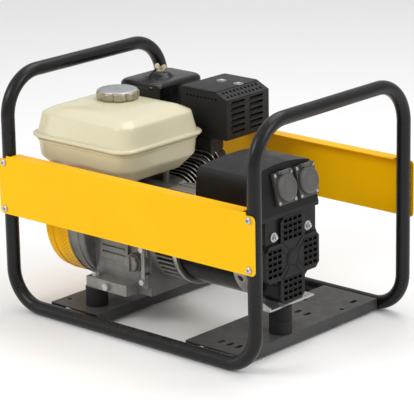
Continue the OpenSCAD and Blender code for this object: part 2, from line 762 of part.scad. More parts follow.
module recoil_cover() color("#ffbe00") difference() {
    union() {
        difference() {
            along_x([recoil_x[0], recoil_x[0] + 6]) fan_outline(-4);
            along_x([recoil_x[0] + 2, recoil_x[1]]) fan_outline(-6);
        }
        difference() {
            along_x([recoil_x[0] + 4, recoil_x[1]]) fan_outline(-1);
            along_x([recoil_x[0] + 3, recoil_x[0] + 7]) fan_outline(-5);
            along_x([recoil_x[0] + 6, recoil_x[1] + 1]) fan_outline(-3);
        }
        rod_x([recoil_x[0], recoil_x[0] + 20], reel_hub_d);
        slab([recoil_x[0], recoil_x[0] + 16], [grip_y - 10, grip_y + 10], [grip_z - 24, grip_z + 4]);
    }
    for (a = [0:15:345]) translate([recoil_x[0] - 1, crank_y, crank_z]) rotate([a, 0, 0])
        translate([0, vent_ring, -3]) cube([4, 26, 6]);
    grip_frame() translate([0, 0, -40]) cylinder(h = 50, d = 7);
    grip_frame() translate([0, 0, -13]) cylinder(h = 20, d = 22);
}

module recoil_reel() color("#2c2c2c") difference() {
    union() {
        rod_x([recoil_x[0] + 4, recoil_x[0] + 7], 84);
        rod_x([recoil_x[0] + 6, recoil_x[0] + 15], 64);
        rod_x([recoil_x[0] + 14, recoil_x[0] + 17], 84);
    }
    rod_x([recoil_x[0], recoil_x[0] + 20], reel_hub_d + 2 * shaft_gap);
}

// Frame of the grip: z along the pull, origin where the rope enters the grip
module grip_frame() translate([grip_x, grip_y, grip_z]) rotate([0, -grip_dir, 0]) children();

module recoil_grip() color("#191919") {
    grip_frame() {
        translate([0, 0, -26]) cylinder(h = 27, d = 4);
        translate([0, 0, -12]) cylinder(h = 12, d1 = 13, d2 = 20);
        translate([0, 0, 0]) cylinder(h = 9, d = 20);
        translate([0, -24, 9]) rotate([-90, 0, 0]) cylinder(h = 48, d = 20);
        for (side = [-1, 1]) translate([0, side * 24, 9]) sphere(d = 20);
    }
}

module flywheel() color("#6f6e6a") difference() {
    union() {
        rod_x([-206, -160], 50);
        rod_x([-198, -162], 2 * flywheel_r);
        for (a = [0:30:330]) translate([-212, crank_y, crank_z]) rotate([a, 0, 0])
            translate([0, 46, -1.5]) cube([15, 26, 3]);
    }
    difference() {
        rod_x([-186, -161], 2 * flywheel_r - 16);
        rod_x([-187, -160], 50);
    }
    rod_x([-213, -159], bearing_seat);
}

module starter_pulley() color("#9c9c98") difference() {
    rod_x([-222, -206], 76);
    rod_x([-223, -210], 70);
    rod_x([-223, -205], bearing_seat);
}

// ---------------------------------------------------------------- crank train

// Straight-sided gear outline in the YZ plane, tooth one pointing along +Y at turn 0
module gear_outline(teeth, turn) {
    pitch = gear_module * teeth / 2;
    root = pitch - 1.2 * gear_module;
    tip = pitch + 0.85 * gear_module;
    circle(r = root);
    for (i = [0:teeth - 1]) rotate(turn + 360 * i / teeth)
        polygon([
            [root - 1, -0.86 * gear_module], [pitch, -0.72 * gear_module], [tip, -0.4 * gear_module],
            [tip, 0.4 * gear_module], [pitch, 0.72 * gear_module], [root - 1, 0.86 * gear_module]
        ]);
}

mesh_angle = cam_angle - 90;

module crankshaft() color("#b5b5b2") {
    rod_x([shaft_end[0], web_left[0] + 1], shaft_d);
    rod_x(web_left, 2 * web_r);
    rod_x(web_right, 2 * web_r);
    rod_x([web_right[1] - 1, shaft_end[1]], shaft_d);
    translate([0, crank_y, crank_z]) along_x(gear_x) gear_outline(crank_teeth, mesh_angle);
}

module crank_pin() color("#c4c4c0") cylinder_frame() translate([-rod_gap / 2 + seat_gap, 0, stroke / 2])
    rotate([0, 90, 0]) cylinder(h = rod_gap - 2 * seat_gap, d = crank_pin_d);

module connecting_rod() color("#9a9a97") cylinder_frame() difference() {
    union() {
        translate([-10, 0, stroke / 2]) rotate([0, 90, 0]) cylinder(h = 20, d = 46);
        translate([-9, 0, stroke / 2 + rod_len]) rotate([0, 90, 0]) cylinder(h = 18, d = pin_d + 8);
        translate([-6, -8, stroke / 2]) cube([12, 16, rod_len]);
    }
    translate([-11, 0, stroke / 2]) rotate([0, 90, 0]) cylinder(h = 22, d = crank_pin_d + 2 * shaft_gap);
    translate([-11, 0, stroke / 2 + rod_len]) rotate([0, 90, 0])
        cylinder(h = 22, d = pin_d + 2 * shaft_gap);
}

module piston() color("#c8c8c4") cylinder_frame() translate([0, 0, stroke / 2 + rod_len]) {
    difference() {
        translate([0, 0, -22]) cylinder(h = 22 + crown, d = bore_d);
        translate([0, 0, -23]) cylinder(h = 23 + crown - 6, d = bore_d - 10);
    }
    translate([-bore_d / 2 + 4, 0, 0]) rotate([0, 90, 0]) cylinder(h = bore_d - 8, d = pin_d);
}

module camshaft() color("#8f8f8b") {
    rod_x([case_x[0] + 3, cover_x[0] + 6], cam_d, cam_y, cam_z);
    translate([0, cam_y, cam_z]) along_x(gear_x)
        gear_outline(cam_teeth, mesh_angle + 180 + 180 / cam_teeth);
    for (lobe = [[-136, -5], [-122, 5]])
        rod_x([lobe[0], lobe[0] + 7], 16, cam_y, cam_z + lobe[1] / 2);
}

// ---------------------------------------------------------------- muffler

muffler_x = [muffler_x0, muffler_x0 + muffler_len];
muffler_y = [muffler_y0, muffler_y0 + muffler_width];
muffler_z = [muffler_z0, muffler_z0 + muffler_h];
tail_x = muffler_x0 + 30;
tail_z = muffler_z0 + 34;
tail_d = 22;

module muffler_body() color("#3a3734") difference() {
    union() {
        round_block([muffler_x[0] + 8, muffler_x[1] - 8], [muffler_y[0] + 8, muffler_y[1] - 8],
            [muffler_z[0] + 8, muffler_z[1] - 10], 16);
        rod_z([port_z + 5, muffler_z[0] + 9], 30, (port_x[0] + port_x[1]) / 2, (port_y[0] + port_y[1]) / 2);
        slab(port_x, port_y, [port_z, port_z + 6]);
        for (p = shield_screws) rod_z([muffler_z[1] - 11, muffler_z[1] - shield_t - 5], 14, p[0], p[1]);
        rod_y([muffler_y[1] - 9, muffler_y[1] + 6], tail_d, tail_x, tail_z);
    }
    round_block([muffler_x[0] + 10, muffler_x[1] - 10], [muffler_y[0] + 10, muffler_y[1] - 10],
        [muffler_z[0] + 10, muffler_z[1] - 12], 14);
    rod_z([port_z - 1, muffler_z[0] + 11], 24, (port_x[0] + port_x[1]) / 2, (port_y[0] + port_y[1]) / 2);
    rod_y([muffler_y[1] - 11, muffler_y[1] + 7], tail_d - 4, tail_x, tail_z);
}

shield_screws = [for (sx = [0.3, 0.68]) [muffler_x[0] + sx * muffler_len, muffler_y[0] + 0.62 * muffler_width]];

// Side outline with the long chamfer that faces the sockets
module shield_outline(t) polygon([
    [muffler_x[0] + t, muffler_z[0] + 4], [muffler_x[0] + t, muffler_z[1] - t],
    [muffler_x[1] - 26, muffler_z[1] - t], [muffler_x[1] - t, muffler_z[1] - 12 - t / 2],
    [muffler_x[1] - t, muffler_z[0] + 4]
]);

module muffler_shield() color("#1b1b1b") difference() {
    along_y(muffler_y) shield_outline(0);
    translate([0, 0, -5]) along_y([muffler_y[0] + shield_t, muffler_y[1] - shield_t]) shield_outline(shield_t);
    along_y([muffler_y[0] + shield_t, muffler_y[1] - shield_t]) shield_outline(shield_t);
    for (i = [0:9], row = [0, 1]) translate([muffler_x[1] - 21 + 11 * row, 0, muffler_z[1] - 12])
        slab([0, 5], [muffler_y[0] + 10 + i * 10, muffler_y[0] + 15 + i * 10], [-8, 14]);
    for (i = [0:5], col = [0, 1]) slab([muffler_x[1] - 4, muffler_x[1] + 1],
        [muffler_y[0] + 14 + 50 * col, muffler_y[0] + 50 + 50 * col],
        [muffler_z[0] + 14 + i * 11, muffler_z[0] + 18 + i * 11]);
    for (i = [0:8]) rod_y([muffler_y[0] - 1, muffler_y[0] + 3], 4, muffler_x[0] + 12 + i * 8.5, muffler_z[1] - 14);
    for (p = shield_screws) rod_z([muffler_z[1] - 3, muffler_z[1] + 1], 13, p[0], p[1]);
    rod_y([muffler_y[1] - 3, muffler_y[1] + 1], tail_d + 2, tail_x, tail_z);
}

// ---------------------------------------------------------------- fuel tank

// One thin slice of the tank: height over the seam and inset from the seam outline
module tank_slice(z, inset) translate([tank_x, tank_y, tank_seam + z]) linear_extrude(eps)
    round_rect(2 * (tank_half[0] - inset), 2 * (tank_half[1] - inset), tank_corner - inset / 3, $fn = 32);

// Leaning wall, round shoulder and shallow crown, w inside the outer skin
module tank_upper_half(w) hull() {
    tank_slice(-w, w);
    for (a = [0:22.5:90])
        tank_slice(tank_upper - crown_rise - shoulder_r * (1 - sin(a)) - w,
            wall_lean + shoulder_r * (1 - cos(a)) + w);
    tank_slice(tank_upper - w, crown_inset + w);
}

module tank_lower_half(w) hull() {
    tank_slice(w, w);
    tank_slice(w - 38, w + 4);
    tank_slice(w - 45, w + 8);
    tank_slice(w + tank_bottom - tank_seam, w + floor_inset);
}

module fuel_tank() color("#e0dbbd") difference() {
    union() {
        tank_upper_half(0);
        tank_lower_half(0);
        translate([tank_x, tank_y, tank_seam - 3]) linear_extrude(6)
            round_rect(tank_len, tank_width, tank_corner + tank_rim);
        rod_z([tank_seam + tank_upper - 22, cap_z - 1], neck_d, cap_x, cap_y);
    }
    tank_upper_half(tank_wall);
    tank_lower_half(tank_wall);
    rod_z([tank_seam + tank_upper - 40, cap_z], neck_d - 6, cap_x, cap_y);
    translate([hose_points[0][0], hose_points[0][1], tank_bottom - 1]) cylinder(h = 5, d = 4);
}

module fuel_cap() color("#b9b08a") difference() {
    union() {
        rod_z([cap_z, cap_z + cap_h - 3], cap_d - 4, cap_x, cap_y);
        for (i = [0:cap_lobes - 1]) translate([cap_x, cap_y, cap_z + 1]) rotate(360 * i / cap_lobes)
            translate([cap_d / 2 - 9, 0, 0]) cylinder(h = cap_h - 5, d = 18);
        translate([cap_x, cap_y, cap_z + cap_h - 4]) cylinder(h = 4, d1 = cap_d - 3, d2 = cap_d - 14);
        rod_z([cap_z - 12, cap_z + 1], neck_d - 6 - 2 * seat_gap, cap_x, cap_y);
    }
    rod_z([cap_z - 13, cap_z + 2], neck_d - 14, cap_x, cap_y);
}

// ---------------------------------------------------------------- engine trim

module oil_filler_cap() color("#77766f") difference() {
    union() {
        rod_y([case_y[0] - oil_boss - 13, case_y[0] - oil_boss - seat_gap], 29, oil_x, oil_z);
        rod_y([case_y[0] - oil_boss - 1, case_y[0] - 2], thread_d, oil_x, oil_z);
    }
    for (side = [-1, 1], z = [[2, 20], [-20, -2]]) translate([oil_x + side * 14, 0, oil_z])
        slab([-7, 7], [case_y[0] - oil_boss - 14, case_y[0] - oil_boss - 5], z);
}

switch_x = [-213, -192];
switch_z = [crank_z + 28, crank_z + 54];
switch_y = -168;
rocker_z = (switch_z[0] + switch_z[1]) / 2;

module engine_switch() color("#a11f1c") difference() {
    slab(switch_x, [switch_y, fan_y - 60], switch_z);
    along_x([switch_x[0] - 1, switch_x[1] + 1]) fan_outline(seat_gap);
    slab([switch_x[0] + 4, switch_x[1] - 4], [switch_y - 1, switch_y + 7], [switch_z[0] + 5, switch_z[1] - 5]);
}

module switch_rocker() color("#141414") difference() {
    rod_x([switch_x[0] + 4.5, switch_x[1] - 4.5], 13, switch_y + 0.5, rocker_z);
    translate([switch_x[0], switch_y - 7.5, rocker_z + 1]) rotate([12, 0, 0]) cube([22, 4, 12]);
}

module hex_x(x, flats, y, z) translate([x[0], y, z]) rotate([0, 90, 0])
    cylinder(h = x[1] - x[0], d = flats / cos(30), $fn = 6);

module hex_y(y, flats, x, z) translate([x, y[0], z]) rotate([-90, 0, 0])
    cylinder(h = y[1] - y[0], d = flats / cos(30), $fn = 6);

stay_y = case_y[0] - 10;
stay_ends = [[cover_x[0] + 6, crank_z - 17], [cover_x[0] + 6, engine_z + 29]];

module case_bolts() color("#cfd2d4") {
    rod_y([case_y[0] - foot_depth - 3, case_y[0] + 4], bolt_d, foot_bolt_x, engine_z + foot_h / 2);
    hex_y([case_y[0] - foot_depth - 6.5, case_y[0] - foot_depth], bolt_head, foot_bolt_x, engine_z + foot_h / 2);
    for (p = stay_ends) hex_y([stay_y - 3 - 5, stay_y - 3], 10, p[0], p[1]);
    for (side = [-1, 1]) {
        hex_x([end_x[1] - 5, end_x[1]], 10, crank_y + side * cover_screw[0], crank_z + cover_screw[1]);
        rod_x([bracket_x[1] - 6, end_x[1] - 4], 6, crank_y + side * cover_screw[0], crank_z + cover_screw[1]);
    }
    for (p = shield_screws) hex_z([muffler_z[1] - shield_t - 5, muffler_z[1] - shield_t], 10, p[0], p[1]);
}

module stay_bar() color("#5c5b57") {
    for (p = stay_ends) rod_y([stay_y - 3, stay_y], 13, p[0], p[1]);
    slab([stay_ends[0][0] - 4, stay_ends[0][0] + 4], [stay_y - 3, stay_y], [stay_ends[1][1], stay_ends[0][1]]);
}

// ---------------------------------------------------------------- alternator

bell_wall = 6;

module adapter_bell() color("#7d776a") difference() {
    union() {
        rod_x(bell_x, 2 * bell_r);
        slab([bell_x[0], bell_x[0] + 8], [case_y[0], case_y[1]], [crank_z - 20, crank_z + 20]);
    }
    rod_x([bell_x[0] + 8, bell_x[1] + 1], 2 * (bell_r - bell_wall));
    rod_x([bell_x[0] - 1, bell_x[0] + 9], shaft_d + 20);
    for (i = [0:5], side = [-1, 1]) translate([0, crank_y, crank_z])
        slab([bell_x[0] + 16, bell_x[1] - 10], [min(side * 45, side * big), max(side * 45, side * big)],
            [-62 + 10 * i, -56 + 10 * i]);
}

module stator_core() color("#1d1d1c") difference() {
    rod_x(stator_x, stator_d);
    rod_x([stator_x[0] - 1, stator_x[1] + 1], stator_bore);
    for (x = [[stator_x[0] - 1, stator_x[0] + 18], [stator_x[1] - 18, stator_x[1] + 1]])
        rod_x(x, stator_d - 10);
}

module stator_windings() color("#b0602c") for (x = [stator_x[0] + 4, stator_x[1] - 18 + seat_gap])
    difference() {
        rod_x([x, x + 14 - seat_gap], stator_d - 16);
        rod_x([x - 1, x + 15], stator_bore + 8);
    }

module rotor() color("#7a4a30") difference() {
    union() {
        rod_x([stator_x[0] + 16, stator_x[1] - 16], stator_bore - 2 * air_gap);
        rod_x([stator_x[0] + 2, stator_x[1] - 2], stator_bore - 16);
    }
    rod_x([stator_x[0], stator_x[1]], bearing_seat);
}

bearing_x = [bracket_x[0] + 8, bracket_x[0] + 23];

module rear_bearing() color("#c2c4c6") difference() {
    rod_x(bearing_x, bearing_od);
    rod_x([bearing_x[0] - 1, bearing_x[1] + 1], bearing_seat);
}

module end_bracket() color("#b9b8b2") difference() {
    union() {
        rod_x(bracket_x, stator_d + 2);
        slab([bracket_x[0] + 2, bracket_x[1] - 2], [crank_y - 34, crank_y + 34],
            [alternator_seat + bracket_t, crank_z - 60]);
    }
    difference() {
        rod_x([bracket_x[0] - 1, bracket_x[1] + 1], stator_d - 10);
        rod_x([bearing_x[0] - 3, bracket_x[1]], bearing_od + 14);
        for (a = [0:45:135]) translate([0, crank_y, crank_z]) rotate([a, 0, 0])
            slab([bracket_x[0] + 6, bracket_x[1] - 6], [-stator_d / 2 + 2, stator_d / 2 - 2], [-5, 5]);
    }
    rod_x([bearing_x[0], bracket_x[1] + 1], bearing_od + 2 * shaft_gap);
    rod_x([bracket_x[0] - 1, bracket_x[1] + 1], shaft_d + 6);
    for (a = [0:45:315]) translate([0, crank_y, crank_z]) rotate([a + 22.5, 0, 0])
        rod_y([stator_d / 2 - 20, stator_d / 2 + 4], 12, (bracket_x[0] + bracket_x[1]) / 2, 0);
}

// Cover outline around the crankshaft axis: square above, notched between the lower arms
module cover_outline() {
    half = [
        [end_half[0] - 4, end_half[1]], [end_half[0] - 4, side_arm], [end_half[0], side_arm - arm_clip],
        [end_half[0], -side_arm + 14], [end_half[0] - arm_clip, -side_arm + 4], [notch_r - 9, -side_arm + 4],
        [arm + 2, -side_arm - 8], [arm + 2, -end_half[1] + 12], [arm - 10, -end_half[1]]
    ];
    polygon(concat(half, [for (i = [len(half) - 1:-1:0]) [-half[i][0], half[i][1]]]));
}

// Hollow behind the cover, inside its walls
module cover_hollow() {
    reach = [end_half[0] - 4 - cover_wall, end_half[1] - cover_wall];
    circle(r = notch_r - cover_wall);
    translate([-reach[0], 0]) square([2 * reach[0], reach[1]]);
    translate([-reach[0], -side_arm + 14]) square([2 * reach[0], side_arm]);
    translate([-arm + cover_wall + 6, -reach[1]]) square([2 * (arm - cover_wall - 6), reach[1]]);
}

// Raised cross of the grille
module cross_outline() {
    circle(r = arm + 10);
    for (a = [0:90:270]) rotate(a) {
        reach = (a % 180 == 0) ? end_half[0] : end_half[1];
        w = (a % 180 == 0) ? side_arm - 4 : arm;
        polygon([[0, -w], [reach - arm_clip, -w], [reach, -w + arm_clip], [reach, w - arm_clip],
            [reach - arm_clip, w], [0, w]]);
    }
}

module vents(start, rows, cols) for (i = [0:rows - 1], k = [0:cols - 1])
    translate([(k - (cols - 1) / 2) * vent_pitch[0] - vent[0] / 2, start + i * vent_pitch[1]]) square(vent);

module side_vents() for (i = [0:2], k = [0:4])
    translate([hub_r + 4 + i * vent_pitch[0], (k - 2) * vent_pitch[1] - vent[1] / 2]) square(vent);

module end_cover() color("#1e1e1d") difference() {
    translate([0, crank_y, crank_z]) {
        difference() {
            along_x([end_x[0], end_x[1] - 5]) cover_outline();
            along_x([end_x[0] - 1, end_x[1] - 8]) cover_hollow();
        }
        along_x([end_x[1] - 6, end_x[1]]) cross_outline();
    }
    translate([0, crank_y, crank_z]) along_x([end_x[1] - 9, end_x[1] + 1]) {
        for (a = [0, 180]) rotate(a) vents(hub_r + 9, 4, 4);
        for (a = [0, 180]) rotate(a) side_vents();
    }
    for (side = [-1, 1]) {
        rod_x([end_x[1] - 5, end_x[1] + 1], 16, crank_y + side * cover_screw[0], crank_z + cover_screw[1]);
        rod_x([end_x[1] - 9, end_x[1]], 6 + 2 * screw_gap, crank_y + side * cover_screw[0],
            crank_z + cover_screw[1]);
    }
}

// Zinc sheet with a side folded up, its top edge falling towards the sockets
module support_bracket() color("#c4c2b4") difference() {
    union() {
        slab(support_x, support_y, [alternator_seat, alternator_seat + bracket_t]);
        translate([0, 0, alternator_seat]) along_y([support_y[0], support_y[0] + bracket_t]) polygon([
            [support_x[0], 0], [support_x[1], 0], [support_x[1], gusset_low],
            [support_x[0] + gusset_flat, gusset_high], [support_x[0], gusset_high]
        ]);
    }
    rod_z([alternator_seat - 1, alternator_seat + bracket_t + 1], bolt_hole, alternator_mount_x, crank_y);
}

// ---------------------------------------------------------------- socket box

top_arch_r = 330;

// Side outline of the box, inset by t from the outer skin
module box_side(t) polygon([
    [box_x[0] + t, box_z0 - t], [box_x[0] + t + 6, box_z1 - 12 - t], [box_x[0] + t + 16, box_z1 - t],
    [box_x[1] - t - (box_h - ledge) * tan(face_lean), box_z1 - t], [box_x[1] - t, box_z0 + ledge],
    [box_x[1] - t, box_z0 - t]
]);

// End outline of the box: round upper edges under a shallow arch
module box_end(t) intersection() {
    translate([box_y, box_z1 - 100 - t]) round_rect(box_width - 2 * t, 200, 22 - t);
    translate([box_y, box_z1 - t - top_arch_r]) circle(r = top_arch_r, $fn = 200);
}

module socket_box() color("#232221") difference() {
    intersection() {
        along_y([box_y - box_width, box_y + box_width]) box_side(0);
        along_x([box_x[0] - 1, box_x[1] + 1]) box_end(0);
        slab([box_x[0] - 1, box_x[1] + 1], [-big, big], [box_z0, box_z1 + 1]);
    }
    intersection() {
        along_y([box_y - box_width, box_y + box_width]) box_side(box_wall);
        along_x([box_x[0] - 1, box_x[1] + 1]) box_end(box_wall);
    }
    for (y = lid_y) face_frame(y) translate([-12, 0, socket_up]) rotate([0, 90, 0])
        cylinder(h = 20, d = cup_d + 4 + 2 * seat_gap);
}

module socket_frames() color("#4a4948") for (y = lid_y) face_frame(y) difference() {
    union() {
        translate([seat_gap, -flange_w / 2, socket_up - flange_h / 2]) cube([flange_t, flange_w, flange_h]);
        translate([-cup_depth, 0, socket_up]) rotate([0, 90, 0]) cylinder(h = cup_depth + 2, d = cup_d + 4);
        for (side = [-1, 1]) translate([hinge_out, side * 12 - 2.5, socket_up + hinge_up]) rotate([-90, 0, 0]) {
            cylinder(h = 5, d = 7);
            translate([-hinge_out + flange_t - 0.2, -3.5, 0]) cube([5, 7, 5]);
        }
    }
    translate([-cup_depth + 2, 0, socket_up]) rotate([0, 90, 0]) cylinder(h = cup_depth + flange_t, d = cup_d);
    translate([hinge_out, -20, socket_up + hinge_up]) rotate([-90, 0, 0])
        cylinder(h = 40, d = hinge_pin_d + 2 * shaft_gap);
}

module socket_lid(y) color("#5c5b59") face_frame(y) {
    translate([flange_t + 2 * seat_gap, 0, socket_up]) rotate([0, 90, 0]) cylinder(h = 6, d = lid_d);
    translate([flange_t + 6, 0, socket_up]) rotate([0, 90, 0]) cylinder(h = 3, d1 = lid_d, d2 = lid_d - 8);
    translate([flange_t + 2 * seat_gap, -9, socket_up]) cube([6.8, 18, hinge_up]);
    translate([hinge_out, -9, socket_up + hinge_up]) rotate([-90, 0, 0]) cylinder(h = 18, d = 6.6);
    translate([hinge_out, -14, socket_up + hinge_up]) rotate([-90, 0, 0]) cylinder(h = 28, d = hinge_pin_d);
}

module socket_lid_left() socket_lid(lid_y[0]);

module socket_lid_right() socket_lid(lid_y[1]);

// ---------------------------------------------------------------- nodes

frame_hoop_left();
frame_hoop_right();
frame_rails();
base_plate_left();
base_plate_right();
side_panel_front();
side_panel_rear();
panel_screws();
engine_mounts();
alternator_mount();
mount_bolts();
foot_bars();
crankcase();
crankcase_cover();
cylinder_barrel();
cylinder_head();
rocker_cover();
spark_plug();
ignition_lead();
ignition_coil();
carburettor();
choke_lever();
fuel_lever();
fuel_hose();
air_cleaner_base();
air_filter_element();
air_cleaner_cover();
wing_nut();
fan_cover();
recoil_cover();
recoil_reel();
recoil_grip();
flywheel();
starter_pulley();
crankshaft();
crank_pin();
connecting_rod();
piston();
camshaft();
muffler_body();
muffler_shield();
fuel_tank();
fuel_cap();
oil_filler_cap();
engine_switch();
switch_rocker();
case_bolts();
adapter_bell();
stay_bar();
stator_core();
stator_windings();
rotor();
rear_bearing();
end_bracket();
end_cover();
support_bracket();
socket_box();
socket_frames();
socket_lid_left();
socket_lid_right();
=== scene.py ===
"""Looks of the portable generator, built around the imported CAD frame.

Lengths are in metres. Profiles, what goes through mm(), and the values marked so are in millimetres.
"""
import json
import math

import bmesh
import bpy
from mathutils import Matrix, Vector


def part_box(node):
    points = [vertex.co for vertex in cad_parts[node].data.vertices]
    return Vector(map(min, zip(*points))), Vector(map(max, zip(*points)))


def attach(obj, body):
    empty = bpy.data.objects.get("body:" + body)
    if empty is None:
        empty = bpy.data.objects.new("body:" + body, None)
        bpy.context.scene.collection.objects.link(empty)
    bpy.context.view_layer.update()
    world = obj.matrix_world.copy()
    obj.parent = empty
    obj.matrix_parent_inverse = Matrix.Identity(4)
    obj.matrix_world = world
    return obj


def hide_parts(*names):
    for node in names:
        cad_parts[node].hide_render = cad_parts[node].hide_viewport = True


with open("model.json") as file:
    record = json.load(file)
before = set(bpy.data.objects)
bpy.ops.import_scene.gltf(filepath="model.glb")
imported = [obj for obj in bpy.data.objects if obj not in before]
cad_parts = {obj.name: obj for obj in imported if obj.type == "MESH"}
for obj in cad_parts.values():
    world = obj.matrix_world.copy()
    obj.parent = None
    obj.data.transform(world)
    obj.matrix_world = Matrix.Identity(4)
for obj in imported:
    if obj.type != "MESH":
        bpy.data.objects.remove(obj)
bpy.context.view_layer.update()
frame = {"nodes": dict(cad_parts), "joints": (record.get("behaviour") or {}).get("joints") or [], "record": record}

MM = 0.001
TURN = 2 * math.pi


def mm(*lengths):
    return tuple(length * MM for length in lengths)


# ---------------------------------------------------------------- camera, lights and floor

CAMERA_AT = Vector((2.7202, -3.0473, 1.4163))
CAMERA_ANGLES = [math.radians(a) for a in (41.717, 16.629, -1.0)]  # azimuth, elevation, roll
CAMERA_LENS = 207.7
SENSOR = 36
SKY_STRENGTH = 0.62
LIGHTS_AIM = (0.0, 0.0, 0.22)
LIGHTS = {  # place, size, power in watts
    "key": ((-0.9, -2.6, 2.3), (1.6, 1.2), 36),
    "side": ((2.9, 0.5, 1.9), (1.2, 1.8), 26),
    "fill": ((-2.6, -1.9, 0.7), (1.2, 0.9), 6),
    "top": ((0.2, 0.9, 2.6), (2.4, 1.4), 28),
}
FLOOR_REACH = 9.0


def make_camera():
    azimuth, elevation, roll = CAMERA_ANGLES
    back = Vector((math.sin(azimuth) * math.cos(elevation), -math.cos(azimuth) * math.cos(elevation),
                   math.sin(elevation)))
    right = Vector((math.cos(azimuth), math.sin(azimuth), 0))
    up = back.cross(right)
    x = right * math.cos(roll) + up * math.sin(roll)
    y = up * math.cos(roll) - right * math.sin(roll)
    data = bpy.data.cameras.new("camera")
    data.lens = CAMERA_LENS
    data.sensor_width = SENSOR
    camera = bpy.data.objects.new("camera", data)
    camera.matrix_world = Matrix.Translation(CAMERA_AT) @ Matrix((x, y, back)).transposed().to_4x4()
    bpy.context.scene.collection.objects.link(camera)
    bpy.context.scene.camera = camera


def make_light(name, at, size, power):
    data = bpy.data.lights.new(name, "AREA")
    data.shape = "RECTANGLE"
    data.size, data.size_y = size
    data.energy = power
    light = bpy.data.objects.new(name, data)
    light.location = at
    light.rotation_euler = (Vector(LIGHTS_AIM) - Vector(at)).to_track_quat("-Z", "Y").to_euler()
    bpy.context.scene.collection.objects.link(light)


def make_studio():
    scene = bpy.context.scene
    scene.view_settings.view_transform = "Standard"
    world = bpy.data.worlds.new("studio")
    world.use_nodes = True
    sky = world.node_tree.nodes["Background"]
    sky.inputs["Color"].default_value = (1.0, 1.0, 1.0, 1.0)
    sky.inputs["Strength"].default_value = SKY_STRENGTH
    scene.world = world
    for name, (at, size, power) in LIGHTS.items():
        make_light(name, at, size, power)


def make_floor():
    mesh = bpy.data.meshes.new("floor")
    corners = [(sx * FLOOR_REACH, sy * FLOOR_REACH, 0) for sx, sy in ((-1, -1), (1, -1), (1, 1), (-1, 1))]
    mesh.from_pydata(corners, [], [(0, 1, 2, 3)])
    floor = bpy.data.objects.new("floor", mesh)
    paint = Paint("floor_paper")
    tone = paint.noise(3.0, detail=2)
    paint.set("Base Color", paint.blend(tone, (0.94, 0.94, 0.94), (0.97, 0.97, 0.97)))
    paint.set("Roughness", 0.85)
    mesh.materials.append(paint.material)
    bpy.context.scene.collection.objects.link(floor)


# ---------------------------------------------------------------- materials


class Paint:
    """Short calls for one material's nodes."""

    def __init__(self, name):
        self.material = bpy.data.materials.new(name)
        self.material.use_nodes = True
        self.tree = self.material.node_tree
        self.shader = self.tree.nodes["Principled BSDF"]
        self.place = self.add("ShaderNodeTexCoord").outputs["Object"]

    def add(self, kind, sockets=(), **settings):
        node = self.tree.nodes.new(kind)
        for key, value in settings.items():
            setattr(node, key, value)
        for key, value in dict(sockets).items():
            self.feed(node.inputs[key], value)
        return node

    def feed(self, socket, value):
        if isinstance(value, bpy.types.NodeSocket):
            self.tree.links.new(value, socket)
        elif isinstance(value, tuple) and socket.type == "RGBA":
            socket.default_value = (*value, 1.0)
        else:
            socket.default_value = value

    def set(self, socket, value):
        self.feed(self.shader.inputs[socket], value)

    def noise(self, scale, detail=3.0, rough=0.5, stretch=(1, 1, 1)):
        where = self.add("ShaderNodeMapping", {"Vector": self.place, "Scale": stretch})
        return self.add("ShaderNodeTexNoise", {"Vector": where.outputs["Vector"], "Scale": scale,
                                               "Detail": detail, "Roughness": rough}).outputs["Fac"]

    def cells(self, scale):
        return self.add("ShaderNodeTexVoronoi", {"Vector": self.place, "Scale": scale}).outputs["Distance"]

    def span(self, value, low, high, out_low=0.0, out_high=1.0):
        return self.add("ShaderNodeMapRange", {"Value": value, "From Min": low, "From Max": high,
                                               "To Min": out_low, "To Max": out_high}).outputs["Result"]

    def maths(self, operation, a, b):
        return self.add("ShaderNodeMath", {0: a, 1: b}, operation=operation).outputs["Value"]

    def blend(self, share, a, b):
        mix = self.add("ShaderNodeMix", {"Factor": share, "A": a, "B": b}, data_type="RGBA")
        return mix.outputs["Result"]

    def edges(self, radius):
        """The normal rounded at sharp edges, and how far it is from the true one."""
        soft = self.add("ShaderNodeBevel", {"Radius": radius}, samples=4).outputs["Normal"]
        true = self.add("ShaderNodeNewGeometry").outputs["Normal"]
        dot = self.add("ShaderNodeVectorMath", {0: soft, 1: true}, operation="DOT_PRODUCT").outputs["Value"]
        return soft, self.span(dot, 0.995, 0.80)

    def facing_up(self):
        normal = self.add("ShaderNodeNewGeometry").outputs["Normal"]
        parts = self.add("ShaderNodeSeparateXYZ", {"Vector": normal})
        return self.span(parts.outputs["Z"], 0.4, 1.0)

    def bump(self, height, strength, distance, normal):
        return self.add("ShaderNodeBump", {"Height": height, "Strength": strength, "Distance": distance,
                                           "Normal": normal}).outputs["Normal"]


def scaled(colour, share):
    return tuple(min(1.0, c * share) for c in colour)


DUST_COLOUR = (0.34, 0.33, 0.31)
ROUGH_SWING = 0.07
COAT_ROUGH = 0.08


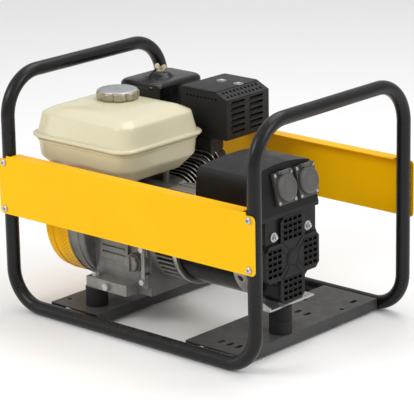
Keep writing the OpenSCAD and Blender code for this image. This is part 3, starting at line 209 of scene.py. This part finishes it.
def make_finish(slot, base, rough, metal=0.0, tone=0.10, tone_scale=11.0, grain=0.00012, grain_scale=1400.0,
                edge_share=1.6, edge_amount=0.5, round_off=0.0007, dust=0.06, coat=0.0, pattern="noise",
                stretch=(1, 1, 1), sheen=0.0, ripple=0.0, ripple_scale=60.0, shine=0.3, shade=1.0):
    """One surface: cloudy tone, fine grain, edges lightened as wear and as a painted highlight, settled dust and
    uneven gloss.
    """
    paint = Paint(slot)
    base = scaled(base, shade)
    cloud = paint.noise(tone_scale, detail=4.0, rough=0.6)
    fleck = paint.noise(tone_scale * 17, detail=2.0)
    colour = paint.blend(paint.span(cloud, 0.3, 0.7), scaled(base, 1 - tone), scaled(base, 1 + tone))
    colour = paint.blend(paint.span(fleck, 0.52, 0.75, 0.0, 0.35), colour, scaled(base, 1 + 2 * tone))
    normal, edge = paint.edges(round_off)
    # Edges lightened towards base times edge_share: partly edge wear, partly a painted highlight along the edges
    edge_wear_and_highlight = paint.maths("MULTIPLY", edge, paint.span(cloud, 0.35, 0.65, 0.35 * edge_amount, edge_amount))
    colour = paint.blend(edge_wear_and_highlight, colour, scaled(base, edge_share))
    settled = paint.maths("MULTIPLY", paint.facing_up(), paint.span(fleck, 0.3, 0.7, 0.2 * dust, dust))
    colour = paint.blend(settled, colour, DUST_COLOUR)
    if pattern == "foam":
        height = paint.cells(grain_scale)
    elif pattern == "cast":
        height = paint.maths("ADD", paint.cells(grain_scale), paint.noise(grain_scale * 0.4, detail=4.0))
    else:
        height = paint.noise(grain_scale, detail=3.0, stretch=stretch)
    normal = paint.bump(height, 0.6, grain, normal)
    if ripple:
        normal = paint.bump(paint.noise(ripple_scale, detail=1.0), 0.5, ripple, normal)
    smears = paint.noise(tone_scale * 3, detail=5.0)
    paint.set("Base Color", colour)
    paint.set("Metallic", metal)
    paint.set("Roughness", paint.span(smears, 0.3, 0.7, rough - ROUGH_SWING, rough + ROUGH_SWING))
    paint.set("Normal", normal)
    paint.set("Specular IOR Level", shine)
    paint.set("Coat Weight", coat)
    paint.set("Coat Roughness", COAT_ROUGH)
    paint.set("Sheen Weight", sheen)
    return paint.material


BRUSHED = (1, 30, 30)
FINISHES = {
    "frame_black": dict(rough=0.26, tone=0.12, edge_share=2.2, ripple=0.00010, shade=0.30, shine=0.26),
    "plate_black": dict(shade=1.3, rough=0.42, tone=0.16, tone_scale=18, edge_share=2.6, edge_amount=0.7,
                        dust=0.10),
    "panel_yellow": dict(rough=0.36, tone=0.035, tone_scale=6, edge_share=1.15, edge_amount=0.6,
                         ripple=0.00006, ripple_scale=260, shine=0.12, dust=0.0),
    "zinc": dict(shade=0.85, rough=0.38, metal=0.70, tone=0.12, tone_scale=60, edge_share=1.2,
                 grain=0.00002),
    "rubber": dict(shade=0.6, rough=0.68, tone=0.16, edge_share=1.5, grain=0.00010, dust=0.12),
    "foot_steel": dict(rough=0.46, metal=0.55, tone=0.16, tone_scale=40, grain=0.00022, pattern="cast",
                       grain_scale=700, edge_share=1.5, edge_amount=0.8),
    "cast_alloy": dict(shade=0.85, rough=0.44, metal=0.60, tone=0.24, tone_scale=26, grain=0.00026,
                       pattern="cast", grain_scale=620, edge_share=1.7, edge_amount=0.8, round_off=0.0014),
    "bright_alloy": dict(rough=0.34, metal=0.80, tone=0.12, tone_scale=30, grain=0.00012, edge_share=1.25,
                         round_off=0.0010),
    "black_alloy": dict(rough=0.48, metal=0.25, tone=0.18, tone_scale=30, grain=0.00018, pattern="cast",
                        grain_scale=800, edge_share=3.2, edge_amount=0.9, round_off=0.0009),
    "ceramic": dict(rough=0.16, tone=0.03, edge_share=1.05, grain=0.00002, coat=0.5, dust=0.03),
    # black_plastic's high edge_share and round_off paint a highlight line along the socket box's edges
    "black_plastic": dict(shade=0.30, rough=0.42, tone=0.10, edge_share=3.2, edge_amount=0.8,
                          grain=0.00010, grain_scale=1700, dust=0.03, shine=0.24, round_off=0.0014),
    "gloss_black": dict(shade=0.4, rough=0.24, tone=0.08, edge_share=1.5, grain=0.00003, shine=0.35,
                        dust=0.03, ripple=0.00008, round_off=0.0012),
    "filter_foam": dict(rough=0.92, tone=0.14, tone_scale=40, grain=0.0012, grain_scale=520,
                        pattern="foam", sheen=0.3, edge_share=1.1),
    "yellow_zinc": dict(rough=0.30, metal=0.80, tone=0.20, tone_scale=90, grain=0.00005, edge_share=1.2),
    "steel": dict(rough=0.26, metal=0.95, tone=0.08, tone_scale=50, grain=0.00004, stretch=BRUSHED,
                  edge_share=1.15, dust=0.02),
    "muffler_black": dict(shade=0.45, rough=0.50, tone=0.20, tone_scale=22, edge_share=3.0,
                          edge_amount=0.85, grain=0.00014, dust=0.05),
    "tank_cream": dict(rough=0.16, tone=0.022, tone_scale=7, edge_share=1.08, grain=0.00002,
                       shine=0.45, shade=0.95, dust=0.02, ripple=0.00012, ripple_scale=22),
    "cap_zinc": dict(shade=0.8, rough=0.40, metal=0.62, tone=0.22, tone_scale=46, grain=0.00008,
                     edge_share=1.35, edge_amount=0.8, round_off=0.0012),
    "switch_red": dict(rough=0.30, tone=0.05, edge_share=1.2, grain=0.00006, coat=0.3),
    "stator_black": dict(shade=0.22, shine=0.2, rough=0.26, tone=0.10, edge_share=1.8, grain=0.00004,
                         ripple=0.00006),
    "copper": dict(rough=0.30, metal=0.80, tone=0.18, tone_scale=60, grain=0.0008, grain_scale=300,
                   stretch=(1, 0.05, 0.05), coat=0.5),
    "rotor_steel": dict(rough=0.40, metal=0.70, tone=0.15, tone_scale=40, grain=0.00030, grain_scale=900,
                        stretch=(6, 0.2, 0.2)),
    "socket_grey": dict(rough=0.46, tone=0.07, edge_share=1.5, grain=0.00012, grain_scale=1500, dust=0.05),
    "lid_grey": dict(rough=0.40, tone=0.07, edge_share=1.5, grain=0.00010, grain_scale=1500, dust=0.05),
}


def make_materials():
    made = {}
    for entry in frame["record"]["materials"]:
        slot = entry["slot"]
        made[slot] = make_finish(slot, tuple(entry["base_color"]), **FINISHES[slot])
    return made


def dress_cad_nodes():
    for entry in frame["record"]["subparts"]:
        mesh = frame["nodes"][entry["node"]].data
        mesh.materials.clear()
        mesh.materials.append(MATERIALS[entry["material_slot"]])


# ---------------------------------------------------------------- mesh tools


def add_piece(name, bm, slot, body="root", stands_for=(), sharp=35, bevel=0.0):
    """Makes the object, smooth except at edges over sharp degrees, and hangs it on its body."""
    bmesh.ops.remove_doubles(bm, verts=bm.verts, dist=1e-6)
    bmesh.ops.recalc_face_normals(bm, faces=bm.faces)
    mesh = bpy.data.meshes.new(name)
    bm.to_mesh(mesh)
    bm.free()
    mesh.shade_smooth()
    mesh.set_sharp_from_angle(angle=math.radians(sharp))
    mesh.materials.append(MATERIALS[slot])
    made = bpy.data.objects.new(name, mesh)
    bpy.context.scene.collection.objects.link(made)
    if bevel:
        rounding = made.modifiers.new("round", "BEVEL")
        rounding.width = bevel
        rounding.segments = 2
        rounding.limit_method = "ANGLE"
        rounding.harden_normals = True
    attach(made, body)
    if stands_for:
        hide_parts(*stands_for)


def rect_ring(centre, z, half, r, steps=10):
    """Points round a rectangle with round corners, counter-clockwise."""
    points = []
    for k, (sx, sy) in enumerate([(1, 1), (-1, 1), (-1, -1), (1, -1)]):
        for i in range(steps + 1):
            a = (k + i / steps) * TURN / 4
            points.append(Vector((centre[0] + sx * (half[0] - r) + r * math.cos(a),
                                  centre[1] + sy * (half[1] - r) + r * math.sin(a), z)))
    return points


def loft(bm, rings, caps=True):
    """Skins rings of equal count, and closes both ends where caps is set."""
    rows = [[bm.verts.new(p) for p in ring] for ring in rings]
    for low, high in zip(rows, rows[1:]):
        for i in range(len(low)):
            j = (i + 1) % len(low)
            bm.faces.new((low[i], low[j], high[j], high[i]))
    if caps:
        bm.faces.new(rows[0][::-1])
        bm.faces.new(rows[-1])


def turn(bm, profile, place, sides=64, wave=None):
    """Turns a profile of (radius, height) in millimetres round place's z axis.

    wave(angle, radius) changes the radius round the turn.
    """
    rings = []
    for radius, height in profile:
        ring = []
        for i in range(sides):
            a = TURN * i / sides
            r = (wave(a, radius) if wave else radius) * MM
            ring.append(place @ Vector((r * math.cos(a), r * math.sin(a), height * MM)))
        rings.append(ring)
    loft(bm, rings)


def block(bm, low, high, place=Matrix.Identity(4)):
    """A box between two corners, in place's frame."""
    size = Vector(high) - Vector(low)
    middle = (Vector(high) + Vector(low)) / 2
    stretched = place @ Matrix.Translation(middle) @ Matrix.Diagonal((*size, 1.0))
    bmesh.ops.create_cube(bm, size=1.0, matrix=stretched)


def sweep(bm, points, r, sides):
    """A round bar along a list of points."""
    rings = []
    side = None
    for i, p in enumerate(points):
        along = (points[min(i + 1, len(points) - 1)] - points[max(i - 1, 0)]).normalized()
        if side is None:
            side = along.orthogonal()
        side = (side - along * side.dot(along)).normalized()
        other = along.cross(side)
        rings.append([p + r * (side * math.cos(TURN * k / sides) + other * math.sin(TURN * k / sides))
                      for k in range(sides)])
    loft(bm, rings)


def aimed(at, axis):
    """A frame at a point, with z along axis."""
    return Matrix.Translation(Vector(at)) @ Vector(axis).to_track_quat("Z", "Y").to_matrix().to_4x4()


def centre_of(node):
    low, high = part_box(node)
    return (low + high) / 2


def joint_at(name):
    return Vector(next(j for j in frame["joints"] if j["name"] == name)["pos_m"])


# ---------------------------------------------------------------- fuel tank

TANK_RIM = 7 * MM
TANK_UPPER = 53 * MM
TANK_CORNER = 30 * MM
TANK_TIGHTEST = 4 * MM  # least corner radius of a ring
BEAD = 3.6  # radius of the seam's bead, in millimetres
CAP_SEAT_SUNK = 1.6 * MM
CAP_R = 39.5  # in millimetres, as are the next two
CAP_ROUND_R = 33  # inside this radius the cap has no scallops
CAP_SCALLOP = 4.2  # depth of a scallop
CAP_LOBES = 9
CAP_FOOT = 378 * MM


def tank_rings(profile, centre, seam, half):
    """Rings from (height over the seam, inset from the wall) in millimetres."""
    rings = []
    for up, inset in profile:
        reach = inset * MM
        r = max(TANK_TIGHTEST, TANK_CORNER - reach / 3)
        rings.append(rect_ring(centre, seam + up * MM, (half[0] - reach, half[1] - reach), r, steps=14))
    return rings


def bead_profile(steps=10):
    """Half a round bead that stands out of the seam, from bottom to top."""
    angles = [math.radians(-90 + 180 * i / steps) for i in range(steps + 1)]
    return [(BEAD * math.sin(a), 0.2 - BEAD - BEAD * math.cos(a)) for a in angles]


def make_tank():
    low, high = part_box("fuel_tank")
    seam = high.z - TANK_UPPER
    centre = (low + high) / 2
    half = ((high.x - low.x) / 2 - TANK_RIM, (high.y - low.y) / 2 - TANK_RIM)

    foot = [(-1.5, -3), (1.0, -2), (2.0, -0.6), (4, 0)]
    wall = [(14, 2), (26, 4.6), (32, 5.7)]
    crease = [(37, 6.7), (38.6, 7.4), (39.8, 8.6), (40.8, 10.2)]
    shoulder = [(43.6, 15), (46.4, 20), (48.4, 24.4), (49.9, 29), (51, 35)]
    crown = [(51.9, 44), (52.5, 56), (52.8, 68), (53, 80), (53, 88)]
    bm = bmesh.new()
    loft(bm, tank_rings(foot + wall + crease + shoulder + crown, centre, seam, half))
    add_piece("tank_upper_shell", bm, "tank_cream", stands_for=["fuel_tank"], sharp=50)

    bm = bmesh.new()
    loft(bm, tank_rings([(-BEAD, 2)] + bead_profile() + [(BEAD, 2)], centre, seam, half))
    add_piece("tank_seam_bead", bm, "tank_cream", sharp=60)

    bottom = (low.z - seam) / MM
    groove = [(-2, 2.4), (-5, 2.6), (-6.2, 1.8), (-7.2, 0.2)]
    second_bead = [(-8.6, -0.8), (-10.2, -0.2), (-11.4, 1.0), (-14, 1.5)]
    lower_wall = [(-34, 3.2), (-37, 3.7), (-39.5, 4.6), (-42, 6.4), (-45, 9)]
    belly = [(-60, 21.5), (-63.5, 24.6), (-65.4, 28), (bottom, 33), (bottom, 60)]
    lower = groove + second_bead + lower_wall + belly
    bm = bmesh.new()
    loft(bm, tank_rings(lower[::-1], centre, seam, half))
    add_piece("tank_lower_shell", bm, "tank_cream", sharp=50)

    cap = centre_of("fuel_cap")
    bm = bmesh.new()
    turn(bm, [(31, 0), (31, 1.2), (29, 2.2), (24, 2.4)],
         Matrix.Translation((cap.x, cap.y, high.z - CAP_SEAT_SUNK)))
    add_piece("tank_cap_seat", bm, "tank_cream", sharp=60)


def scallop(a, radius):
    if radius < CAP_ROUND_R:
        return radius
    return radius - CAP_SCALLOP * (1 - abs(math.cos(a * CAP_LOBES / 2)) ** 0.55)


def make_fuel_cap():
    low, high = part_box("fuel_cap")
    centre = (low + high) / 2
    place = Matrix.Translation((centre.x, centre.y, CAP_FOOT))
    r = CAP_R
    bm = bmesh.new()
    turn(bm, [(18, 0), (r - 2.4, 0), (r - 1.2, 0.5), (r - 0.5, 1.6), (r, 3.2), (r, 11.0), (r - 0.5, 12.8),
              (r - 1.4, 13.8), (r - 2.6, 14.3), (r - 4.4, 14.4), (20, 14.4)],
         place, sides=144, wave=scallop)
    add_piece("fuel_cap_skirt", bm, "cap_zinc", body="fuel_cap", stands_for=["fuel_cap"], sharp=60)
    bm = bmesh.new()
    turn(bm, [(r - 3.4, 14.0), (r - 3.6, 15.0), (r - 5.0, 15.8), (r - 9, 16.1), (18, 16.3), (3, 16.4)],
         place, sides=72)
    add_piece("fuel_cap_disc", bm, "zinc", body="fuel_cap", sharp=50)


# ---------------------------------------------------------------- air cleaner

AIR_DOME = 9 * MM
AIR_WALL = 3 * MM
AIR_CORNER = 20 * MM
AIR_SHOULDER = 9 * MM


def make_air_cover():
    low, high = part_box("air_cleaner_cover")
    centre = (low + high) / 2
    half = ((high.x - low.x) / 2, (high.y - low.y) / 2)
    top = high.z - AIR_DOME

    def ring(inset, z):
        return rect_ring(centre, z, (half[0] - inset, half[1] - inset), AIR_CORNER - inset / 2, steps=12)

    inner = [ring(AIR_WALL + 6 * MM, top - AIR_WALL), ring(AIR_WALL + 1.5 * MM, top - AIR_WALL - 3 * MM),
             ring(AIR_WALL, top - AIR_WALL - 8 * MM), ring(AIR_WALL, low.z)]
    lip = [ring(0.4 * MM, low.z), ring(-0.8 * MM, low.z + 0.8 * MM), ring(-0.8 * MM, low.z + 5 * MM),
           ring(0, low.z + 6.4 * MM)]
    shoulder = [ring(AIR_SHOULDER * (1 - math.cos(a)), top - AIR_SHOULDER * (1 - math.sin(a)))
                for a in (math.radians(9 * i) for i in range(11))]
    crown = [ring(14 * MM, top + 0.3 * MM), ring(24 * MM, top + 0.5 * MM)]
    bm = bmesh.new()
    loft(bm, inner + lip + shoulder + crown)
    add_piece("air_cover_shell", bm, "gloss_black", body="air_cover", stands_for=["air_cleaner_cover"],
              sharp=50)
    bm = bmesh.new()
    turn(bm, [(27, 0), (25, 0.8), (23, 2.4), (20, 5.4), (17, 7.4), (13, 8.7), (9, 9), (3.4, 9)],
         Matrix.Translation((centre.x, centre.y, top + 0.3 * MM)))
    add_piece("air_cover_dome", bm, "gloss_black", body="air_cover", sharp=60)


# ---------------------------------------------------------------- engine

CYLINDER_X = -88 * MM
CYLINDER_LEAN = 25  # degrees over level
FIN_EDGE = mm(0.3, 2.1)  # bottom and top of the bare strip, over the fin's underside
FIN_SETS = [  # count, then in millimetres: first height, rise to the last, half width, corner radius
    (7, 78, 49.1, 48, 26),
    (4, 129.5, 31.6, 52, 14),
]
FAN_OFF_CRANK = mm(2, -5)  # in y and z
RIM_ANGLES = (145, 395)  # the round stretch of fan cover and housing, in degrees from +Y
HOUSING_RINGS_X = mm(-186, -165, -151)


def band(bm, place, half, r, low, high, depth=1.2 * MM, proud=0.2 * MM):
    """A closed strip round the edge of a square plate with round corners."""
    outer = (half + proud, half + proud)
    inner = (half - depth, half - depth)
    corners = [(inner, r - depth, low), (outer, r + proud, low), (outer, r + proud, high),
               (inner, r - depth, high), (inner, r - depth, low)]
    loft(bm, [[place @ p for p in rect_ring((0, 0), z, size, turn_r)] for size, turn_r, z in corners],
         caps=False)


def make_fin_edges():
    """The bare metal edges of the cooling fins."""
    crank = joint_at("crank_turn")
    tilt = math.radians(CYLINDER_LEAN - 90)
    place = Matrix.Translation((CYLINDER_X, crank.y, crank.z)) @ Matrix.Rotation(tilt, 4, "X")
    bm = bmesh.new()
    for count, first, rise, half, corner in FIN_SETS:
        for i in range(count):
            z = (first + i * rise / (count - 1)) * MM
            band(bm, place, half * MM, corner * MM, z + FIN_EDGE[0], z + FIN_EDGE[1])
    add_piece("cooling_fin_edges", bm, "bright_alloy")


def arc_bar(bm, x, centre, r, thick, steps=56):
    """A round bar bent over RIM_ANGLES, round an axis along X."""
    start, end = RIM_ANGLES
    points = []
    for i in range(steps + 1):
        a = math.radians(start + (end - start) * i / steps)
        points.append(Vector((x, centre[0] + r * math.cos(a), centre[1] + r * math.sin(a))))
    sweep(bm, points, thick, sides=8)


def make_housing_rims():
    """Cast rings on the flywheel housing, and the creases and small holes of the fan cover."""
    low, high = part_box("fan_cover")
    crank = joint_at("crank_turn")
    centre = (crank.y + FAN_OFF_CRANK[0], crank.z + FAN_OFF_CRANK[1])
    r = (high.y - low.y) / 2
    bm = bmesh.new()
    for x in HOUSING_RINGS_X:
        arc_bar(bm, x, centre, r - 0.3 * MM, 1.8 * MM)
    add_piece("housing_rings", bm, "cast_alloy", sharp=60)

    bm = bmesh.new()
    for x in (high.x - 1.5 * MM, low.x + 1 * MM, low.x - 14 * MM):
        arc_bar(bm, x, centre, r - 0.5 * MM, 1.2 * MM)
    add_piece("fan_cover_creases", bm, "panel_yellow", sharp=60)

    rows, columns, first, pitch = 4, 66, 150, 3.7
    sunk = r - 0.4 * MM
    bm = bmesh.new()
    for row in range(rows):
        for i in range(columns):
            a = math.radians(first + (i + 0.5 * (row % 2)) * pitch)
            out = Vector((0, math.cos(a), math.sin(a)))
            at = Vector((low.x + (6 + 4 * row) * MM, *centre)) + sunk * out
            turn(bm, [(1.0, 0), (1.0, 0.55), (0.5, 0.6)], aimed(at, out), sides=8)
    add_piece("fan_cover_perforations", bm, "black_plastic", sharp=60)


def make_oil_cap():
    low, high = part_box("oil_filler_cap")
    centre = (low + high) / 2
    place = aimed((centre.x, high.y - 9.6 * MM, centre.z), (0, -1, 0))
    bm = bmesh.new()
    turn(bm, [(9, -8), (9, 0), (13, 0), (14.4, 0.6), (14.9, 2), (14.9, 6.5), (14.2, 8), (12.4, 8.8),
              (4, 9.2)], place)
    add_piece("oil_cap_disc", bm, "cast_alloy", body="oil_filler_cap", stands_for=["oil_filler_cap"])
    bm = bmesh.new()
    block(bm, mm(-1.8, -13.5, 7), mm(1.8, 13.5, 13.4), place)
    add_piece("oil_cap_wing", bm, "cast_alloy", body="oil_filler_cap", bevel=1.2 * MM)


def make_bell_trim():
    """The raised slats, end ring and top ribs of the adapter casting."""
    low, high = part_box("adapter_bell")
    crank = joint_at("crank_turn")
    r = (high.z - low.z) / 2
    slats, first, pitch = 7, -64, 10
    bm = bmesh.new()
    for side in (-1, 1):
        for i in range(slats):
            z = (first + pitch * i) * MM
            across = side * math.sqrt(r * r - z * z)
            place = aimed(((low.x + high.x) / 2 + 3 * MM, crank.y + across, crank.z + z), (0, across, z))
            long_side_along_x = abs(place.col[1].x) > 0.5
            if not long_side_along_x:
                place = place @ Matrix.Rotation(TURN / 4, 4, "Z")
            block(bm, mm(-1.7, -21, -3.5), mm(1.7, 21, 1.4), place)
    add_piece("bell_slats", bm, "cast_alloy", bevel=0.8 * MM)

    out = r / MM
    bm = bmesh.new()
    turn(bm, [(out - 2, 0), (out + 0.8, 0.4), (out + 1.4, 2), (out + 1.4, 7.4), (out + 0.6, 8.8),
              (out - 5, 9)],
         aimed((high.x - 9 * MM, crank.y, crank.z), (1, 0, 0)), sides=96)
    add_piece("bell_end_ring", bm, "bright_alloy")

    ribs, first_angle, step = 5, 58, 16
    bm = bmesh.new()
    for i in range(ribs):
        a = math.radians(first_angle + step * i)
        place = Matrix.Translation((0, crank.y, crank.z)) @ Matrix.Rotation(a, 4, "X")
        block(bm, (low.x + 2 * MM, r - 2 * MM, -1.6 * MM), (high.x - 10 * MM, r + 2.4 * MM, 1.6 * MM), place)
    add_piece("bell_top_ribs", bm, "foot_steel", bevel=0.8 * MM)


# ---------------------------------------------------------------- muffler

SHIELD_CHAMFER = 26 * MM
LOUVRE_ROWS = 6
LOUVRE_PITCH = 11  # in millimetres
LOUVRE_COLUMNS = 2
LOUVRE_COLUMN_PITCH = 50  # in millimetres


def make_muffler_trim():
    low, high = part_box("muffler_shield")
    half = ((high.x - low.x - SHIELD_CHAMFER) / 2 + 1.0 * MM, (high.y - low.y) / 2 + 1.2 * MM)
    middle = (low.x + half[0] - 1.2 * MM, (low.y + high.y) / 2)
    sheet = []
    for up, inset in (mm(-1.6, 0.6), mm(-1.4, 0), mm(0.6, 0), mm(1.0, 0.5)):
        sheet.append(rect_ring(middle, high.z + up, (half[0] - inset, half[1] - inset), 5 * MM, steps=5))
    bm = bmesh.new()
    loft(bm, sheet)
    add_piece("muffler_top_plate", bm, "muffler_black", sharp=50)

    bm = bmesh.new()
    for share in (0.3, 0.68):
        place = Matrix.Translation((low.x + share * (high.x - low.x), low.y + 0.62 * (high.y - low.y),
                                    high.z + 0.9 * MM))
        turn(bm, [(9, 0), (8.6, 0.5), (7.4, 0.6), (6.6, 0.1), (6, 0.05)], place, sides=40)
        turn(bm, [(5, 0), (5, 1.6), (4, 2.2)], place, sides=6)
    add_piece("muffler_screw_dishes", bm, "zinc", sharp=40)

    bm = bmesh.new()
    for column in range(LOUVRE_COLUMNS):
        y = low.y + (14 + LOUVRE_COLUMN_PITCH * column) * MM
        for row in range(LOUVRE_ROWS):
            z = low.z + (17.9 + LOUVRE_PITCH * row) * MM
            block(bm, (high.x - 0.6 * MM, y, z), (high.x + 2.2 * MM, y + 36 * MM, z + 1.6 * MM))
    add_piece("muffler_louvres", bm, "muffler_black", bevel=0.6 * MM)


# ---------------------------------------------------------------- sockets and end cover

LID_PROFILE = [
    (23.4, 0.3), (24, 0.9), (24, 5.0), (23.2, 6.2), (21.8, 7.0), (20.6, 8.0), (19.4, 8.6),
    (17.6, 8.7), (17.2, 8.1), (16.2, 8.1), (15.8, 8.7),
    (12.6, 8.8), (12.2, 8.3), (11.2, 8.3), (10.8, 8.9), (3, 9.0),
]
HINGE_FROM_LID = mm(-14, 27, 3.7)  # the pin's end, in the lid's frame
FLANGE_SCREWS = (20.8, 23.6)  # across and up from the socket's centre, in millimetres
END_SCREWS = mm(45, 46)  # across and up from the crank axis
VENT_PITCH = 10.5  # in millimetres


def socket_places():
    """Each socket's side, and a frame with z out of its face and y up along it."""
    found = []
    for side in ("left", "right"):
        mount = next(m for m in frame["record"]["mounts"] if m["name"] == "socket_" + side)
        out = Vector(mount["axis"]).normalized()
        across = Vector((0, 1, 0))
        turned = Matrix((across, out.cross(across), out)).transposed().to_4x4()
        found.append((side, Matrix.Translation(mount["pos_m"]) @ turned))
    return found


def make_lid(body, place):
    """One sprung lid: its disc, tab, hinge pin and knuckle."""
    bm = bmesh.new()
    turn(bm, LID_PROFILE, place, sides=72)
    add_piece(body + "_disc", bm, "lid_grey", body=body, stands_for=["socket_" + body], sharp=45)
    bm = bmesh.new()
    block(bm, mm(-12, 12, 0.7), mm(12, 22.4, 7.2), place)
    block(bm, mm(-8.8, 21, 1.0), mm(8.8, 26.5, 6.4), place)
    for x in (-6, 0, 6):
        block(bm, mm(x - 0.8, 14, 7), mm(x + 0.8, 24.6, 7.8), place)
    add_piece(body + "_tab", bm, "lid_grey", body=body, bevel=0.9 * MM)
    hinge = place @ Matrix.Translation(HINGE_FROM_LID) @ Matrix.Rotation(TURN / 4, 4, "Y")
    bm = bmesh.new()
    turn(bm, [(1.2, -0.4), (1.5, 0), (1.5, 28), (1.2, 28.4)], hinge, sides=20)
    add_piece(body + "_hinge_pin", bm, "steel", body=body)
    bm = bmesh.new()
    turn(bm, [(2.9, 5.2), (3.3, 5.6), (3.3, 22.4), (2.9, 22.8)], hinge, sides=28)
    add_piece(body + "_knuckle", bm, "lid_grey", body=body)


def make_sockets():
    across, up = FLANGE_SCREWS
    for side, place in socket_places():
        make_lid("lid_" + side, place)
        bm = bmesh.new()
        for x in (-across, across):
            for y in (-up, up):
                head = place @ Matrix.Translation(mm(x, y, -0.1))
                turn(bm, [(3.0, 0), (3.0, 0.5), (2.2, 1.4), (0.9, 1.5), (0.7, 0.9)], head, sides=20)
        add_piece("socket_screws_" + side, bm, "zinc")
        bm = bmesh.new()
        turn(bm, [(26.2, -0.2), (25.8, 0.7), (24.6, 0.9), (24.5, -0.2)], place)
        add_piece("socket_collar_" + side, bm, "socket_grey")


def make_end_cover_trim():
    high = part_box("end_cover")[1]
    crank = joint_at("crank_turn")
    face = Matrix.Translation((high.x, crank.y, crank.z))
    bm = bmesh.new()
    turn(bm, [(17, -0.6), (16.6, 0.9), (15, 1.2), (13.6, 0.3), (12.4, 0.2), (11.6, 1.0), (4, 1.3)],
         face @ Matrix.Rotation(TURN / 4, 4, "Y"))
    add_piece("end_cover_hub", bm, "black_plastic")

    bm = bmesh.new()
    for a in (45, 135, 225, 315):
        arm = face @ Matrix.Rotation(math.radians(a), 4, "X")
        for z in (-5, 5):
            block(bm, mm(-0.8, 18, z - 0.9), mm(0.9, 42, z + 0.9), arm)
    for half_turns, first in ((0, 41), (1, 33.7)):
        arm = face @ Matrix.Rotation(half_turns * TURN / 2, 4, "X")
        for row in range(4):
            z = first + VENT_PITCH * row
            block(bm, mm(-0.8, -25.5, z), mm(1.3, 25.5, z + 1.3), arm)
    for near, far in ((-66.5, -29), (29, 66.5)):
        for row in range(-2, 3):
            z = VENT_PITCH * row + 3
            block(bm, mm(-0.8, near, z), mm(1.3, far, z + 1.3), face)
    add_piece("end_cover_ribs", bm, "black_plastic", bevel=0.4 * MM)

    bm = bmesh.new()
    for side in (-1, 1):
        at = (high.x - 4.9 * MM, crank.y + side * END_SCREWS[0], crank.z + END_SCREWS[1])
        place = aimed(at, (1, 0, 0))
        turn(bm, [(8.6, 0), (8.6, 1.2), (8.0, 1.6), (4, 1.7)], place, sides=40)
        turn(bm, [(3, 4), (3, 7.6), (2.4, 8.2)], place, sides=24)
    add_piece("end_cover_washers", bm, "zinc")


# ---------------------------------------------------------------- build

make_camera()
make_studio()
make_floor()
MATERIALS = make_materials()
dress_cad_nodes()
make_tank()
make_fuel_cap()
make_air_cover()
make_fin_edges()
make_housing_rims()
make_oil_cap()
make_bell_trim()
make_muffler_trim()
make_sockets()
make_end_cover_trim()
